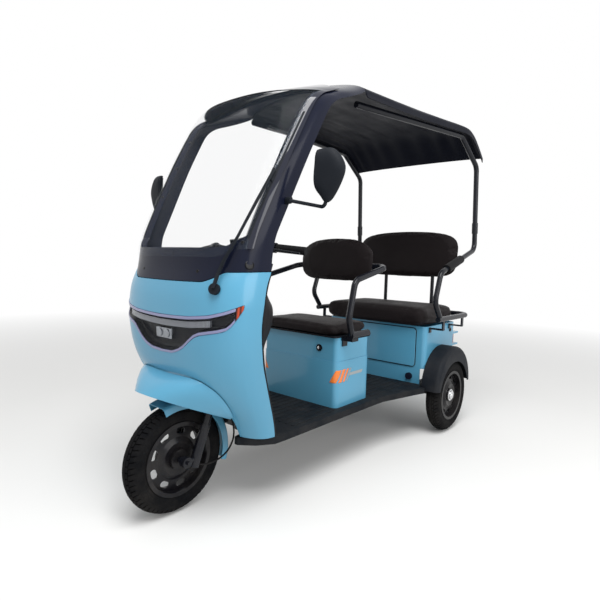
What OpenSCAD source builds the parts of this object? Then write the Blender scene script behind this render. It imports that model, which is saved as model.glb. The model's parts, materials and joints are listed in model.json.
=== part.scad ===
// Electric three-wheel passenger scooter with a windscreen, a roof and two bench seats.
// Stations along X are measured forward from the rear axle, heights from the ground.

/* [Wheels] */
// Distance between the front and rear axles
wheelbase = 1575; // [1500:5:1700]
// Distance between the middles of the rear tyres
track = 756; // [750:2:790]
// Outer radius of the tyres
tyre_r = 205; // [198:1:210]
// Width of the tyres
tyre_w = 80; // [74:1:82]
// Radius of the bead seat on the rims
bead_r = 130; // [124:1:134]
// Vent slots in each wheel disc
vent_count = 9; // [6:1:10]

/* [Steering] */
// Lean of the steering axis from upright, in degrees
rake = 20; // [17:0.5:22]
// Distance of the front axle ahead of the steering axis
fork_offset = 42; // [36:1:46]
// Height of the handlebar tube
bar_z = 985; // [975:1:1000]
// Half the width of the handlebar over the grips
bar_half = 305; // [280:5:310]

/* [Body] */
// Height of the floor's upper face
floor_z = 282; // [276:1:292]
// Depth of the floor's side edge
floor_t = 30; // [26:1:36]
// Half the width of the floor at the front
floor_half = 270; // [260:2:276]
// Half the width of the front cowl at its widest
cowl_half = 343; // [335:1:350]
// Wall thickness of the moulded panels
panel_t = 4; // [3:0.5:5]
// Height of the two seat boxes above the floor
box_h = 323; // [310:1:335]
// Wall thickness of the seat boxes
box_t = 5; // [4:0.5:6]
// Reach of the tail lamp lips behind the rear axle
rear_overhang = 272; // [262:2:290]

/* [Seats] */
// Length of the front seat box
front_box_l = 266; // [250:2:280]
// Width of the front seat box
front_box_w = 458; // [440:2:470]
// Half the width of the rear seat box
rear_box_half = 328; // [322:1:329]
// Thickness of the front cushion
front_cushion_h = 55; // [48:1:62]
// Thickness of the rear cushion
rear_cushion_h = 112; // [90:1:118]
// Radius of the seat and roof tubes
tube_r = 14; // [12:0.5:15]

/* [Hidden] */
$fn = 64;

// Clearances: a seat that rests, a running fit and a seam between two panels
seat_gap = 0.3;
run_gap = 0.3;
seam_gap = 0.8;
body_blue = [0.42, 0.70, 0.78];
body_dark = [0.10, 0.11, 0.13];
body_black = [0.06, 0.06, 0.065];
// Shift that puts the origin under the middle of the overall length
mid_shift = -(wheelbase + tyre_r - rear_overhang) / 2;
axle_z = tyre_r;
wheel_y = track / 2;
// Foot of the steering axis at axle height
steer_foot = [wheelbase - fork_offset / cos(rake), 0, axle_z];
steer_up = [-sin(rake), 0, cos(rake)];
seat_z = floor_z + box_h;
floor_low = floor_z - floor_t;

// Blends and directions
function mix(a, b, t) = a + (b - a) * t;
function unit(v) = v / norm(v);
function mirror_y(p) = [p[0], -p[1], p[2]];
function arc(centre, r, from, to, steps) = [
    for (k = [0:steps]) centre + r * [cos(mix(from, to, k / steps)), sin(mix(from, to, k / steps))]
];
function round_rect(x0, x1, y0, y1, r) = concat(
    arc([x1 - r, y1 - r], r, 0, 90, 6), arc([x0 + r, y1 - r], r, 90, 180, 6),
    arc([x0 + r, y0 + r], r, 180, 270, 6), arc([x1 - r, y0 + r], r, 270, 360, 6)
);
// Smooth run through four neighbours, from the second to the third
function through(p, q, r, s, t) =
    0.5 * (2 * q + (r - p) * t + (2 * p - 5 * q + 4 * r - s) * t * t + (3 * q - p - 3 * r + s) * t * t * t);
function row_at(rows, v) =
    let (last = len(rows) - 1, i = max(0, min(floor(v), last - 1)))
    through(rows[max(i - 1, 0)], rows[i], rows[i + 1], rows[min(i + 2, last)], v - i);
// A row runs from the right edge over the crown to the left edge as a rounded arch.
// Columns: crown x, crown z, edge x, edge z, half width, fullness
function arch_point(row, u) =
    let (p = 2 / row[5], c = pow(cos(90 * abs(u)), p), s = pow(sin(90 * abs(u)), p))
    [mix(row[2], row[0], c), sign(u) * row[4] * s, mix(row[3], row[1], c)];
function skin_point(rows, u, v) = arch_point(row_at(rows, v), u);
function skin_normal(rows, u, v) =
    let (last = len(rows) - 1, du = 0.02, dv = 0.1)
    unit(cross(
        skin_point(rows, min(1, u + du), v) - skin_point(rows, max(-1, u - du), v),
        skin_point(rows, u, min(last, v + dv)) - skin_point(rows, u, max(0, v - dv))
    ));
function raised(rows, u, v, h) = skin_point(rows, u, v) + h * skin_normal(rows, u, v);

// Front body rows from the floor to the roof: offsets from the front axle and heights above the floor.
// Columns: crown x, crown z, edge x, edge z, narrower than the cowl by, fullness
front_table = [
    [-152, 0, -263, 0, 75, 2.6],
    [-114, 76, -234, 76, 59, 2.6],
    [22, 230, -164, 230, 30, 2.8],
    [54, 324, -127, 324, 12, 3],
    [64, 438, -107, 438, 0, 3],
    [57, 558, -123, 558, 1, 3],
    [33, 624, -153, 624, 9, 3],
    [23, 681, -179, 681, 15, 2.9],
    [8, 738, -206, 738, 18, 2.8],
    [-48, 878, -288, 878, 23, 2.7],
    [-134, 1063, -398, 1063, 29, 2.6],
    [-232, 1260, -521, 1248, 35, 2.5],
    [-311, 1302, -577, 1293, 37, 2.4],
    [-407, 1338, -614, 1320, 38, 2.3],
    [-539, 1390, -649, 1348, 38, 2.15],
    [-658, 1430, -679, 1368, 38, 2]
];
front_rows = [
    for (r = front_table)
        [wheelbase + r[0], floor_z + r[1], wheelbase + r[2], floor_z + r[3], cowl_half - r[4], r[5]]
];
front_last = len(front_rows) - 1;
// Row coordinate for a height above the floor, on the level rows
function level(h) = lookup(h, [for (i = [0:10]) [front_table[i][1], i]]);
// Lower end of the cowl's columns behind the beak and along the floor. Columns: u, u at the foot, height
cowl_foot = [
    [0, 0, 236], [0.1, 0.1, 240], [0.2, 0.2, 238], [0.25, 0.26, 230], [0.3, 0.31, 212], [0.35, 0.345, 180],
    [0.4, 0.36, 140], [0.45, 0.365, 100], [0.5, 0.37, 60], [0.55, 0.38, 25], [0.6, 0.39, 0], [1, 1, 0]
];
function foot_u(u) = sign(u) * lookup(abs(u), [for (r = cowl_foot) [r[0], r[1]]]);
function foot_h(u) = lookup(abs(u), [for (r = cowl_foot) [r[0], r[2]]]);
// Seam of the cowl with the windscreen frame: heights over the floor
function cowl_seam(u) = lookup(abs(u), [[0, 582], [0.3, 584], [0.4, 600], [0.5, 622], [1, 626]]);
// Opening of the windscreen frame: half its span, its lower and its upper row, the depth of its flange
screen_half = 0.68;
function screen_low(u) =
    level(lookup(abs(u), [[0, 708], [0.45, 708], [0.55, 722], [0.62, 740], [0.68, 748]]));
function screen_high(u) = lookup(abs(u), [[0, 13.3], [0.4, 13.2], [0.55, 12.9], [0.68, 12.2]]);
flange = 26;
// Edge of the glass
glass_half = 0.8;
function glass_low(u) = level(lookup(abs(u), [[0, 668], [0.4, 668], [0.5, 680], [0.6, 698], [0.8, 702]]));
function glass_high(u) = screen_high(min(abs(u), screen_half)) + 0.7;
glass_t = 4;
glass_gap = 0.9;

// The frame's lower edge leans back under its upper one, so the roof's seam is wider
roof_seam = 2.5;
// Roof rows from the windscreen frame to the rear edge, same columns as the front rows
roof_front = front_rows[front_last];
roof_table = [
    [400, 1448, 400, 1387, 366, 2.1],
    [60, 1452, 60, 1401, 420, 2.2],
    [-40, 1440, -40, 1394, 428, 2.2],
    [-110, 1404, -110, 1364, 430, 2.2],
    [-170, 1354, -170, 1326, 430, 2.2],
    [-224, 1296, -224, 1286, 430, 2.2]
];
roof_rows = concat(
    [[roof_front[0] - roof_seam, roof_front[1], roof_front[2] - roof_seam, roof_front[3], roof_front[4], 2]],
    [for (r = roof_table) [r[0], floor_z + r[1], r[2], floor_z + r[3], r[4], r[5]]]
);
roof_flange = 24;

// Seat boxes and cushions
front_box_x = 612;
front_box_end = front_box_x + front_box_l;
front_box_half = front_box_w / 2;
front_corner_r = 24;
rear_box_x = 193;
rear_box_back = -200;
rear_corner_r = 26;
// Length of the lips round the tail lamps
lip_l = 132;
board_t = 8;
hinge_x = front_box_x - 9;
hinge_z = seat_z + 7;
hinge_pin_r = 4;
hinge_r = 8;
hinge_y = 150;
lug_t = 8;
knuckle_half = 11;
lug_in = knuckle_half + 1;
lock_y = 128;
lock_z = seat_z - 55;
lock_r = 12;

// Opening in the cowl for the smile-shaped lamp: half its span, lower and upper edge over the floor
lamp_half = 0.8;
function lamp_low(u) = lookup(abs(u), [
    [0, 330], [0.05, 333], [0.1, 345], [0.15, 362], [0.2, 384], [0.25, 402], [0.3, 411], [0.4, 419],
    [0.5, 425], [0.6, 434], [0.65, 446], [0.7, 462], [0.75, 482], [0.8, 502], [1, 504]
]);
function lamp_high(u) = lookup(abs(u), [[0, 466], [0.2, 471], [0.4, 480], [0.6, 496], [0.8, 515], [1, 516]]);

// Frame rails
rail_w = 40;
rail_h = 60;
rail_y = 170;
rail_top = floor_z - 8;
rail_high = floor_z + 88;
rear_box_low = rail_high + seat_gap;
rail_end = wheelbase - 314;
neck_r = 30;
head_r = 34;
// Pair of holes for a rear rack in the last cross member
rack_y = 100;
rack_hole_r = 5.5;
stem_r = 22;
// Mudguard over the front tyre, fork crown and head tube along the steering axis, from axle height
guard_gap = 20;
guard_r = tyre_r + guard_gap;
crown_at = guard_r + 37;
head_low = crown_at + 10;
head_high = head_low + 128;
spring_y = 235;
spring_half = 178;

// Roof posts: one bent tube a side from the rear seat to the windscreen frame
post_y = 406;
loop_z = seat_z + 50;
loop_x = -206;
post_path = [
    [205, post_y, loop_z + tube_r], [272, post_y, seat_z + 147], [215, post_y, seat_z + 300],
    [-236, post_y, seat_z + 436], [-206, post_y - 4, seat_z + 915], [10, 392, floor_z + 1370],
    [roof_front[2] - 40, 268, floor_z + 1340]
];
// Sleeve in the rear run of the post, where the upper tube plugs in
post_way = unit(post_path[4] - post_path[3]);
post_joint = post_path[3] + post_way * 126;
sleeve_half = 31;
// Front seat tube: both arms and the bar behind the backrest
arm_y = 278;
arm_path = [
    [832, arm_y, seat_z + 2], [866, arm_y, seat_z + 95], [826, arm_y, seat_z + 262],
    [555, arm_y, seat_z + 324]
];
arm_tube = concat(arm_path, [for (i = [len(arm_path) - 1:-1:0]) mirror_y(arm_path[i])]);

// Front brake cable, held by the fork from the crown to the drum
cable_r = 3.5;
cable_path = [
    for (p = [
        [-158, 62, 233], [-177, 70, 203], [-197, 80, 145], [-215, 84, 85], [-213, 86, 35], [-187, 86, -5],
        [-145, 84, -27], [-97, 80, -33], [-57, 76, -25]
    ]) [wheelbase, 0, axle_z] + p
];

// Pieces are drawn from the rear axle and moved to the middle of the overall length
module from_axle() translate([mid_shift, 0, 0]) children();
module both_sides() {
    children();
    mirror([0, 1, 0]) children();
}
module slab(x0, x1, y0, y1, z0, z1) translate([x0, y0, z0]) cube([x1 - x0, y1 - y0, z1 - z0]);
module aim(from, way)
    translate(from) rotate([0, acos(way[2] / norm(way)), atan2(way[1], way[0])]) children();
module rod(a, b, r) aim(a, b - a) cylinder(r = r, h = norm(b - a));
module along_axis(from, r, length) aim(from, steer_up) cylinder(r = r, h = length);
module across(at, r, y0, y1)
    translate([at[0], y0, at[1]]) rotate([-90, 0, 0]) cylinder(r = r, h = y1 - y0);
// Round bar through the points, with every corner bent to the radius.
// A bend swells a little and laps the straights
bend_swell = 0.4;
bend_lap = 2;
module bent_bar(points, r, bend) {
    last = len(points) - 1;
    ways = [for (i = [0:last - 1]) unit(points[i + 1] - points[i])];
    turns = [for (i = [0:last]) i == 0 || i == last ? 0 : acos(min(1, ways[i - 1] * ways[i]))];
    cuts = [for (t = turns) bend * tan(t / 2)];
    for (i = [0:last - 1])
        rod(
            points[i] + ways[i] * (cuts[i] - (i == 0 ? 0 : bend_lap)),
            points[i + 1] - ways[i] * (cuts[i + 1] - (i == last - 1 ? 0 : bend_lap)), r
        );
    for (i = [1:last - 1]) if (turns[i] > 0.5) {
        start = points[i] - ways[i - 1] * cuts[i];
        up = unit(cross(ways[i - 1], ways[i]));
        out = -cross(up, ways[i - 1]);
        centre = start - bend * out;
        multmatrix([
            [out[0], ways[i - 1][0], up[0], centre[0]], [out[1], ways[i - 1][1], up[1], centre[1]],
            [out[2], ways[i - 1][2], up[2], centre[2]], [0, 0, 0, 1]
        ]) rotate_extrude(angle = turns[i]) translate([bend, 0]) circle(r = r + bend_swell);
    }
}
// Closed sheet between two grids of points, with one block of cells left open
module sheet(outer, inner, open = [0, 0, 0, 0]) {
    rows = len(outer);
    cols = len(outer[0]);
    back = rows * cols;
    cells = [
        for (i = [0:rows - 2]) [
            for (j = [0:cols - 2]) !(i >= open[0] && i < open[1] && j >= open[2] && j < open[3])
        ]
    ];
    function kept(i, j) = i >= 0 && j >= 0 && i < rows - 1 && j < cols - 1 && cells[i][j];
    faces = [
        for (i = [0:rows - 2], j = [0:cols - 2]) if (cells[i][j])
            let (a = i * cols + j, b = a + 1, d = a + cols, c = d + 1)
            each concat(
                [[a, d, c], [a, c, b], [a + back, b + back, c + back], [a + back, c + back, d + back]],
                kept(i - 1, j) ? [] : [[a, b, b + back], [a, b + back, a + back]],
                kept(i, j + 1) ? [] : [[b, c, c + back], [b, c + back, b + back]],
                kept(i + 1, j) ? [] : [[c, d, d + back], [c, d + back, c + back]],
                kept(i, j - 1) ? [] : [[d, a, a + back], [d, a + back, d + back]]
            )
    ];
    polyhedron([for (g = [outer, inner], r = g) each r], faces);
}
// Soft block with rounded edges: half sizes and how square the edge and the plan are
module pillow(size, edge, plan, turn = 32, ring = 10) {
    function soft(a, p) = sign(a) * pow(abs(a), p);
    points = concat(
        [[0, 0, -size[2]]],
        [
            for (k = [1:ring - 1], i = [0:turn - 1])
                let (v = -90 + 180 * k / ring, u = 360 * i / turn, w = soft(cos(v), edge))
                [
                    size[0] * w * soft(cos(u), plan), size[1] * w * soft(sin(u), plan),
                    size[2] * soft(sin(v), edge)
                ]
        ],
        [[0, 0, size[2]]]
    );
    top = len(points) - 1;
    faces = concat(
        [for (i = [0:turn - 1]) [0, 1 + i, 1 + (i + 1) % turn]],
        [
            for (k = [0:ring - 3], i = [0:turn - 1])
                let (a = 1 + k * turn + i, b = 1 + k * turn + (i + 1) % turn)
                each [[a, a + turn, b + turn], [a, b + turn, b]]
        ],
        [for (i = [0:turn - 1]) [top, top - turn + (i + 1) % turn, top - turn + i]]
    );
    polyhedron(points, faces);
}
// Closed skin over a row of rings
module loft(rings) {
    last = len(rings) - 1;
    sides = len(rings[0]);
    faces = concat(
        [[for (k = [sides - 1:-1:0]) k]],
        [
            for (i = [0:last - 1], k = [0:sides - 1])
                let (a = i * sides + k, b = i * sides + (k + 1) % sides)
                each [[a, b, b + sides], [a, b + sides, a + sides]]
        ],
        [[for (k = [0:sides - 1]) last * sides + k]]
    );
    polyhedron([for (r = rings) each r], faces);
}
// Tube swept through hand-set points
module cord(points, r, sides) {
    last = len(points) - 1;
    loft([
        for (i = [0:last])
            let (
                way = unit(points[min(i + 1, last)] - points[max(i - 1, 0)]),
                side = unit(cross(way, [0, 1, 0.2])), up = cross(side, way)
            )
            [
                for (k = [0:sides - 1])
                    points[i] + r * (cos(360 * k / sides) * side + sin(360 * k / sides) * up)
            ]
    ]);
}

// Welded frame: rails, cross members, neck, head tube and spring hangers
module frame() color(body_black) from_axle() {
    kick = 95;
    difference() {
        union() {
            both_sides() {
                translate([0, rail_y + rail_w / 2, 0]) rotate([90, 0, 0]) linear_extrude(rail_w) polygon([
                    [rail_end, rail_top - rail_h], [rail_end, rail_top], [182, rail_top],
                    [kick, rail_high], [rear_box_back + 8, rail_high],
                    [rear_box_back + 8, rail_high - rail_h], [kick - 25, rail_high - rail_h],
                    [150, rail_top - rail_h]
                ]);
                slab(spring_half - 18, spring_half + 16, rail_y + rail_w / 2 - 1, spring_y - 22 - seat_gap,
                    rail_top - rail_h, rail_top - 2);
                slab(-spring_half - 16, -spring_half + 16, rail_y + rail_w / 2 - 1, spring_y - 30 - seat_gap,
                    rail_high - 52, rail_high - 6);
            }
            for (x = [rail_end - 40, 760, 230])
                slab(x, x + 40, -rail_y + rail_w / 2, rail_y - rail_w / 2, rail_top - 40, rail_top);
            slab(rear_box_back + 8, rear_box_back + 48, -rail_y + rail_w / 2, rail_y - rail_w / 2,
                rail_high - rail_h, rail_high);
            bent_bar([
                [rail_end - 20, 0, rail_top - 38], [rail_end + 10, 0, floor_z + 70],
                steer_foot + steer_up * (head_low + 64)
            ], neck_r, 120);
            along_axis(steer_foot + steer_up * head_low, head_r, head_high - head_low);
        }
        along_axis(steer_foot + steer_up * (head_low - 60), stem_r + run_gap, head_high - head_low + 120);
        both_sides() translate([rear_box_back, rack_y, rail_high - rail_h / 2])
            rotate([0, 90, 0]) cylinder(r = rack_hole_r, h = 60);
    }
}

// Floor tray with a deep edge and ribs along its length in both foot wells
module floor_panel() {
    front = wheelbase - 263;
    wide = wheel_y - 20;
    edge = [
        [front + 106, 172], [front + 62, 226], [front, floor_half - 3], [front - 60, floor_half],
        [620, floor_half + 8], [540, floor_half + 12], [300, wide - 16], [246, wide], [238, wide],
        [238, rear_box_half - 6], [rear_box_x + 6, rear_box_half - 6]
    ];
    arch = [
        [front + 106, 156], [front + 40, 144], [front - 6, 116], [front - 6, neck_r + 18],
        [front - 92, neck_r + 18]
    ];
    function other(p) = [p[0], -p[1]];
    half = concat([for (i = [len(arch) - 1:-1:0]) arch[i]], edge);
    tray = concat(half, [for (i = [len(half) - 1:-1:0]) other(half[i])]);
    rib_h = 3;
    wells = [[rear_box_x + 50, front_box_x - 24], [front_box_end + 24, front - 132]];
    color(body_black) from_axle() {
        difference() {
            translate([0, 0, floor_low]) linear_extrude(floor_t) polygon(tray);
            slab(rear_box_x - 20, front - 40, -floor_half + 22, floor_half - 22, floor_low - 1, floor_z - 8);
        }
        for (w = wells, y = [-234:36:234]) slab(w[0], w[1], y - 6, y + 6, floor_z - 1, floor_z + rib_h);
    }
}

// Moulded cowl and leg shield in one wrap-round shell, open for the lamp
module front_cowl() {
    cols = 40;
    low_steps = 6;
    lamp_steps = 4;
    top_steps = 3;
    us = [for (j = [0:cols]) -1 + 2 * j / cols];
    function across_at(u, i) = i < low_steps ? mix(foot_u(u), u, i / low_steps) : u;
    function height_at(u, i) =
        i < low_steps ? mix(foot_h(u), lamp_low(u), i / low_steps)
        : i < low_steps + lamp_steps ? mix(lamp_low(u), lamp_high(u), (i - low_steps) / lamp_steps)
        : mix(lamp_high(u), cowl_seam(u) - seam_gap, (i - low_steps - lamp_steps) / top_steps);
    function at(u, i, h) = raised(front_rows, across_at(u, i), level(height_at(u, i)), h);
    rows = [0:low_steps + lamp_steps + top_steps];
    side = round(cols * (1 - lamp_half) / 2);
    color(body_blue) from_axle() sheet(
        [for (i = rows) [for (u = us) at(u, i, 0)]], [for (i = rows) [for (u = us) at(u, i, -panel_t)]],
        [low_steps, low_steps + lamp_steps, side, cols - side]
    );
}

// Beak over the front wheel, from its root on the cowl to its lip. Root columns: way round, u, height
module outer_fender() {
    root = [
        [0, 0, 250], [0.17, 0.1, 253], [0.34, 0.2, 252], [0.5, 0.3, 243], [0.6, 0.36, 230], [0.7, 0.41, 208],
        [0.8, 0.437, 179], [0.88, 0.44, 148], [0.95, 0.42, 113], [1, 0.4, 92]
    ];
    lip_front = [138, 191];
    lip_rear = [-121, 79];
    lip_half = 176;
    lip_full = 2.2;
    root_t = 1.2;
    rest = 2.4;
    cols = 36;
    steps = 5;
    function root_at(w, h) =
        let (u = sign(w) * lookup(abs(w), [for (r = root) [r[0], r[1]]]))
        raised(front_rows, u, level(lookup(abs(w), [for (r = root) [r[0], r[2]]])), h);
    function lip_at(w, t) =
        let (c = pow(cos(90 * abs(w)), 2 / lip_full), s = pow(sin(90 * abs(w)), 2 / lip_full))
        [
            wheelbase + mix(lip_rear[0], lip_front[0] - t, c), sign(w) * (lip_half - t) * s,
            floor_z + mix(lip_rear[1], lip_front[1], c) - (t > 0 ? 1 : 0)
        ];
    function beak(w, k, t) =
        let (
            a = root_at(w, rest + (t > 0 ? 0 : root_t)), b = lip_at(w, t), v = k / steps,
            out = unit([1, sign(w) * sin(90 * abs(w)), 1]) * mix(10, 16, abs(w))
        )
        mix(a, b, v) + out * (4 * v * (1 - v)) - out * (t > 0 && k > 0 && k < steps ? t / norm(out) : 0);
    ws = [for (j = [0:cols]) 1 - 2 * j / cols];
    color(body_blue) from_axle() sheet(
        [for (k = [0:steps]) [for (w = ws) beak(-w, steps - k, 0)]],
        [for (k = [0:steps]) [for (w = ws) beak(-w, steps - k, panel_t)]]
    );
}

// Lamp unit in the cowl's opening: black tub, light ring, light bar, twin projector and clear cover
lamp_seam = 0.8;
ring_w = 9.5;
lamp_end = 0.7;
tub_depth = 24;
lamp_us = [for (j = [-14:14]) j * lamp_end / 14];
function tub_low(u) = lamp_low(u) + ring_w + 2 * lamp_seam;
function tub_high(u) = lamp_high(u) - ring_w - 2 * lamp_seam;
function tub_floor(u) = tub_depth * (1 - pow(abs(u) / lamp_end, 4)) + 3;
function lamp_at(u, height, h) = raised(front_rows, u, level(height), h);
module lamp_panel() {
    wall = 4;
    function rows_of(u, lean) = [
        tub_low(u), tub_low(u) + lean, mix(tub_low(u), tub_high(u), 0.5), tub_high(u) - lean, tub_high(u)
    ];
    color(body_black) from_axle() sheet(
        [for (i = [0:4]) [for (u = lamp_us)
            lamp_at(u, rows_of(u, wall)[i], i == 0 || i == 4 ? -1 : -tub_floor(u))]],
        [for (i = [0:4]) [for (u = lamp_us)
            lamp_at(u, rows_of(u, 1)[i], i == 0 || i == 4 ? -panel_t - 0.5 : -tub_floor(u) - 3)]]
    );
}
module lamp_lenses() {
    ring = [lamp_seam, lamp_seam + ring_w];
    bar_half = 0.4;
    bar_h = 22;
    projector_h = 398;
    projector = [36, 92];
    bar_us = [for (j = [-10:10]) j * bar_half / 10];
    function bar_top(u) = tub_high(u) - 6;
    base = lamp_at(0, projector_h, -tub_floor(0) + lamp_seam);
    color([0.85, 0.87, 0.92]) from_axle() {
        sheet(
            [for (h = ring) [for (u = lamp_us) lamp_at(u, lamp_low(u) + h, 1.5)]],
            [for (h = ring) [for (u = lamp_us) lamp_at(u, lamp_low(u) + h, -panel_t)]]
        );
        sheet(
            [for (h = -ring) [for (u = lamp_us) lamp_at(u, lamp_high(u) + h, -panel_t)]],
            [for (h = -ring) [for (u = lamp_us) lamp_at(u, lamp_high(u) + h, 1.5)]]
        );
        sheet(
            [for (h = [bar_h, 0]) [for (u = bar_us) lamp_at(u, bar_top(u) - h, -7)]],
            [for (h = [bar_h, 0]) [for (u = bar_us) lamp_at(u, bar_top(u) - h, lamp_seam - tub_floor(u))]]
        );
        aim(base, skin_normal(front_rows, 0, level(projector_h))) {
            translate([-projector[0] / 2, -projector[1] / 2, 0]) cube([projector[0], projector[1], 12]);
            both_sides() translate([0, 22, 10]) cylinder(r = 15, h = 6);
        }
    }
}
module lamp_cover() color([0.75, 0.85, 0.90, 0.35]) from_axle() sheet(
    [for (t = [0:0.25:1]) [for (u = lamp_us) lamp_at(u, mix(tub_low(u), tub_high(u), t), 1.8)]],
    [for (t = [0:0.25:1]) [for (u = lamp_us) lamp_at(u, mix(tub_low(u), tub_high(u), t), -0.3)]]
);
module indicators() {
    us = [for (j = [0:4]) mix(lamp_end + 0.006, lamp_half - 0.006, j / 4)];
    color("orange") from_axle() both_sides() sheet(
        [for (t = [0:0.5:1]) [for (u = us)
            lamp_at(u, mix(lamp_low(u) + lamp_seam, lamp_high(u) - lamp_seam, t), 1.5)]],
        [for (t = [0:0.5:1]) [for (u = us)
            lamp_at(u, mix(lamp_low(u) + lamp_seam, lamp_high(u) - lamp_seam, t), -panel_t)]]
    );
}

// Depths of the column's tunnel and the glove box bulge at the dash, and half the tunnel's width
tunnel_top = 212;
tunnel_half = 130;
glove_top = 52;
function tunnel_at(y) = abs(y) < tunnel_half ? pow(cos(90 * y / tunnel_half), 2) : 0;
function glove_at(w) = 1 - pow(abs(w), 4);
// Inner leg shield with the glove box bulge and the steering column's tunnel
module inner_shield() {
    cols = 24;
    high = 652;
    steps = 18;
    function tunnel(h) = lookup(h, [[0, 118], [118, 122], [230, 112], [324, 134],
        [438, 190], [558, 208], [660, tunnel_top]]);
    function glove(h) = lookup(h, [[0, 0], [280, 16], [330, 66], [370, 140], [405, 186], [440, 204], [485, 206],
        [515, 182], [545, 120], [575, 74], [605, 58], [660, glove_top]]);
    function shield(w, h, t) =
        let (
            row = row_at(front_rows, level(h)), half = row[4] - panel_t - 2 * seam_gap, y = half * w,
            depth = max(tunnel(h) * tunnel_at(y), glove(h) * glove_at(w))
        )
        [row[2] - depth - t, y, floor_z + h];
    ws = [for (j = [0:cols]) -1 + 2 * j / cols];
    hs = [for (i = [0:steps]) 2 + high * i / steps];
    color([0.11, 0.10, 0.10]) from_axle() sheet(
        [for (h = hs) [for (w = ws) shield(-w, h, panel_t)]],
        [for (h = hs) [for (w = ws) shield(-w, h, 0)]]
    );
}

// Level cover between the windscreen frame and the inner shield, with the column's opening
module dash_top() color([0.08, 0.08, 0.085]) from_axle() {
    h = 660;
    row = row_at(front_rows, level(h));
    half = row[4] - panel_t - 2;
    front = [for (j = [-18:18]) let (p = raised(front_rows, j / 20, level(h), -panel_t - 3)) [p[0], p[1]]];
    rear = [
        for (j = [10:-1:-10])
            let (w = j / 10.6, y = half * w)
            [row[2] - max(tunnel_top * tunnel_at(y), glove_top * glove_at(w)), y]
    ];
    column = steer_foot + steer_up * ((floor_z + h - axle_z) / cos(rake));
    difference() {
        translate([0, 0, floor_z + h]) linear_extrude(panel_t) polygon(concat(front, rear));
        along_axis(column - steer_up * 40, stem_r + 14, 80);
    }
}

// Dark frame round the windscreen: lower panel, both pillars and the top bar. The glass lies on the same grid
pillar_us = [screen_half, 0.74, glass_half, 0.87, 0.93, 1];
screen_us = concat(
    [for (j = [5:-1:0]) -pillar_us[j]], [for (j = [-6:6]) j / 10], pillar_us
);
glass_us = [for (u = screen_us) if (abs(u) <= glass_half) u];
screen_steps = 16;
function screen_v(u, t) =
    let (w = min(abs(u), screen_half)) mix(screen_low(w), screen_high(w), t);
module windscreen_frame() {
    low_steps = 3;
    top_steps = 4;
    top = low_steps + screen_steps;
    cols = len(screen_us) - 1;
    edge = len(pillar_us) - 1;
    function v_at(u, i) =
        i <= low_steps ? mix(level(cowl_seam(u) + seam_gap), screen_v(u, 0), i / low_steps)
        : i <= top ? screen_v(u, (i - low_steps) / screen_steps)
        : mix(screen_v(u, 1), front_last, (i - top) / top_steps);
    function rim(i, j) =
        i >= low_steps && i <= top && j >= edge && j <= cols - edge
        && (i == low_steps || i == top || j == edge || j == cols - edge);
    rows = [0:top + top_steps];
    color(body_dark) from_axle() sheet(
        [for (i = rows) [for (u = screen_us) raised(front_rows, u, v_at(u, i), 0)]],
        [for (i = rows) [for (j = [0:cols])
            raised(front_rows, screen_us[j], v_at(screen_us[j], i), rim(i, j) ? -flange : -panel_t)]],
        [low_steps, top, edge, cols - edge]
    );
}
module windscreen() {
    function v_at(u, i) =
        i == 0 ? glass_low(u) : i > screen_steps + 1 ? glass_high(u) : screen_v(u, (i - 1) / screen_steps);
    rows = [0:screen_steps + 2];
    color([0.75, 0.85, 0.90, 0.35]) from_axle() sheet(
        [for (i = rows) [for (u = glass_us) raised(front_rows, u, v_at(u, i), glass_gap + glass_t)]],
        [for (i = rows) [for (u = glass_us) raised(front_rows, u, v_at(u, i), glass_gap)]]
    );
}

// Wiper on the left of the screen: pivot, arm with its second rod, bracket and blade
module wiper() {
    pivot = [0.45, 5.1];
    arm = [[0.45, 5.1], [0.46, 5.8], [0.5, 6.6], [0.55, 7.3], [0.59, 8], [0.63, 8.85], [0.668, 9.5]];
    link_rod = [[0.495, 6.2], [0.54, 6.9], [0.58, 7.6], [0.615, 8.3], [0.66, 9.2]];
    bracket = [[0.65, 9.45], [0.68, 9.4], [0.71, 9.35]];
    blade = [for (i = [0:12]) [mix(0.7, 0.715, i / 12), mix(7.95, 10.6, i / 12)]];
    function strip(path, half, h) = [
        for (p = path) [for (s = [-1, 1]) raised(front_rows, p[0] + s * half[0], p[1] + s * half[1], h)]
    ];
    module bar(path, half, low, high) sheet(strip(path, half, high), strip(path, half, low));
    color(body_black) from_axle() {
        bar(arm, [0.016, 0], 14, 20);
        bar(link_rod, [0.006, 0], 21, 25);
        bar(bracket, [0, -0.09], 9.6, 13.4);
        bar(blade, [0.011, 0], 5.4, 9);
        aim(raised(front_rows, pivot[0], pivot[1], 0.6), skin_normal(front_rows, pivot[0], pivot[1]))
            cylinder(r = 19, h = 13);
    }
}

// Crowned roof with a turned-down rim and ribs along its underside
module roof_panel() {
    cols = 44;
    us = [for (j = [0:cols]) -1 + 2 * j / cols];
    vs = [0, 1, 2, 2.5, 3, 3.5, 4, 5, 6];
    rib_h = 8;
    function top(u, v) = skin_point(roof_rows, u, v);
    function under(j, v) =
        let (
            p = top(us[j], v), ribbed = abs(us[j]) < 0.92 && j % 4 < 2 && v > 0 && v < len(roof_rows) - 1,
            deep = ribbed ? rib_h : 0
        )
        p - [0, sign(us[j]) * (abs(us[j]) > 0.97 ? panel_t : 0), panel_t + deep];
    function rim(s, v, t) = top(s, v) - [0, s * t, roof_flange];
    outer = [for (v = vs) concat([rim(-1, v, 0)], [for (u = us) top(u, v)], [rim(1, v, 0)])];
    inner = [
        for (v = vs) concat([rim(-1, v, panel_t)], [for (j = [0:cols]) under(j, v)], [rim(1, v, panel_t)])
    ];
    color(body_black) from_axle() sheet(outer, inner);
}

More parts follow.
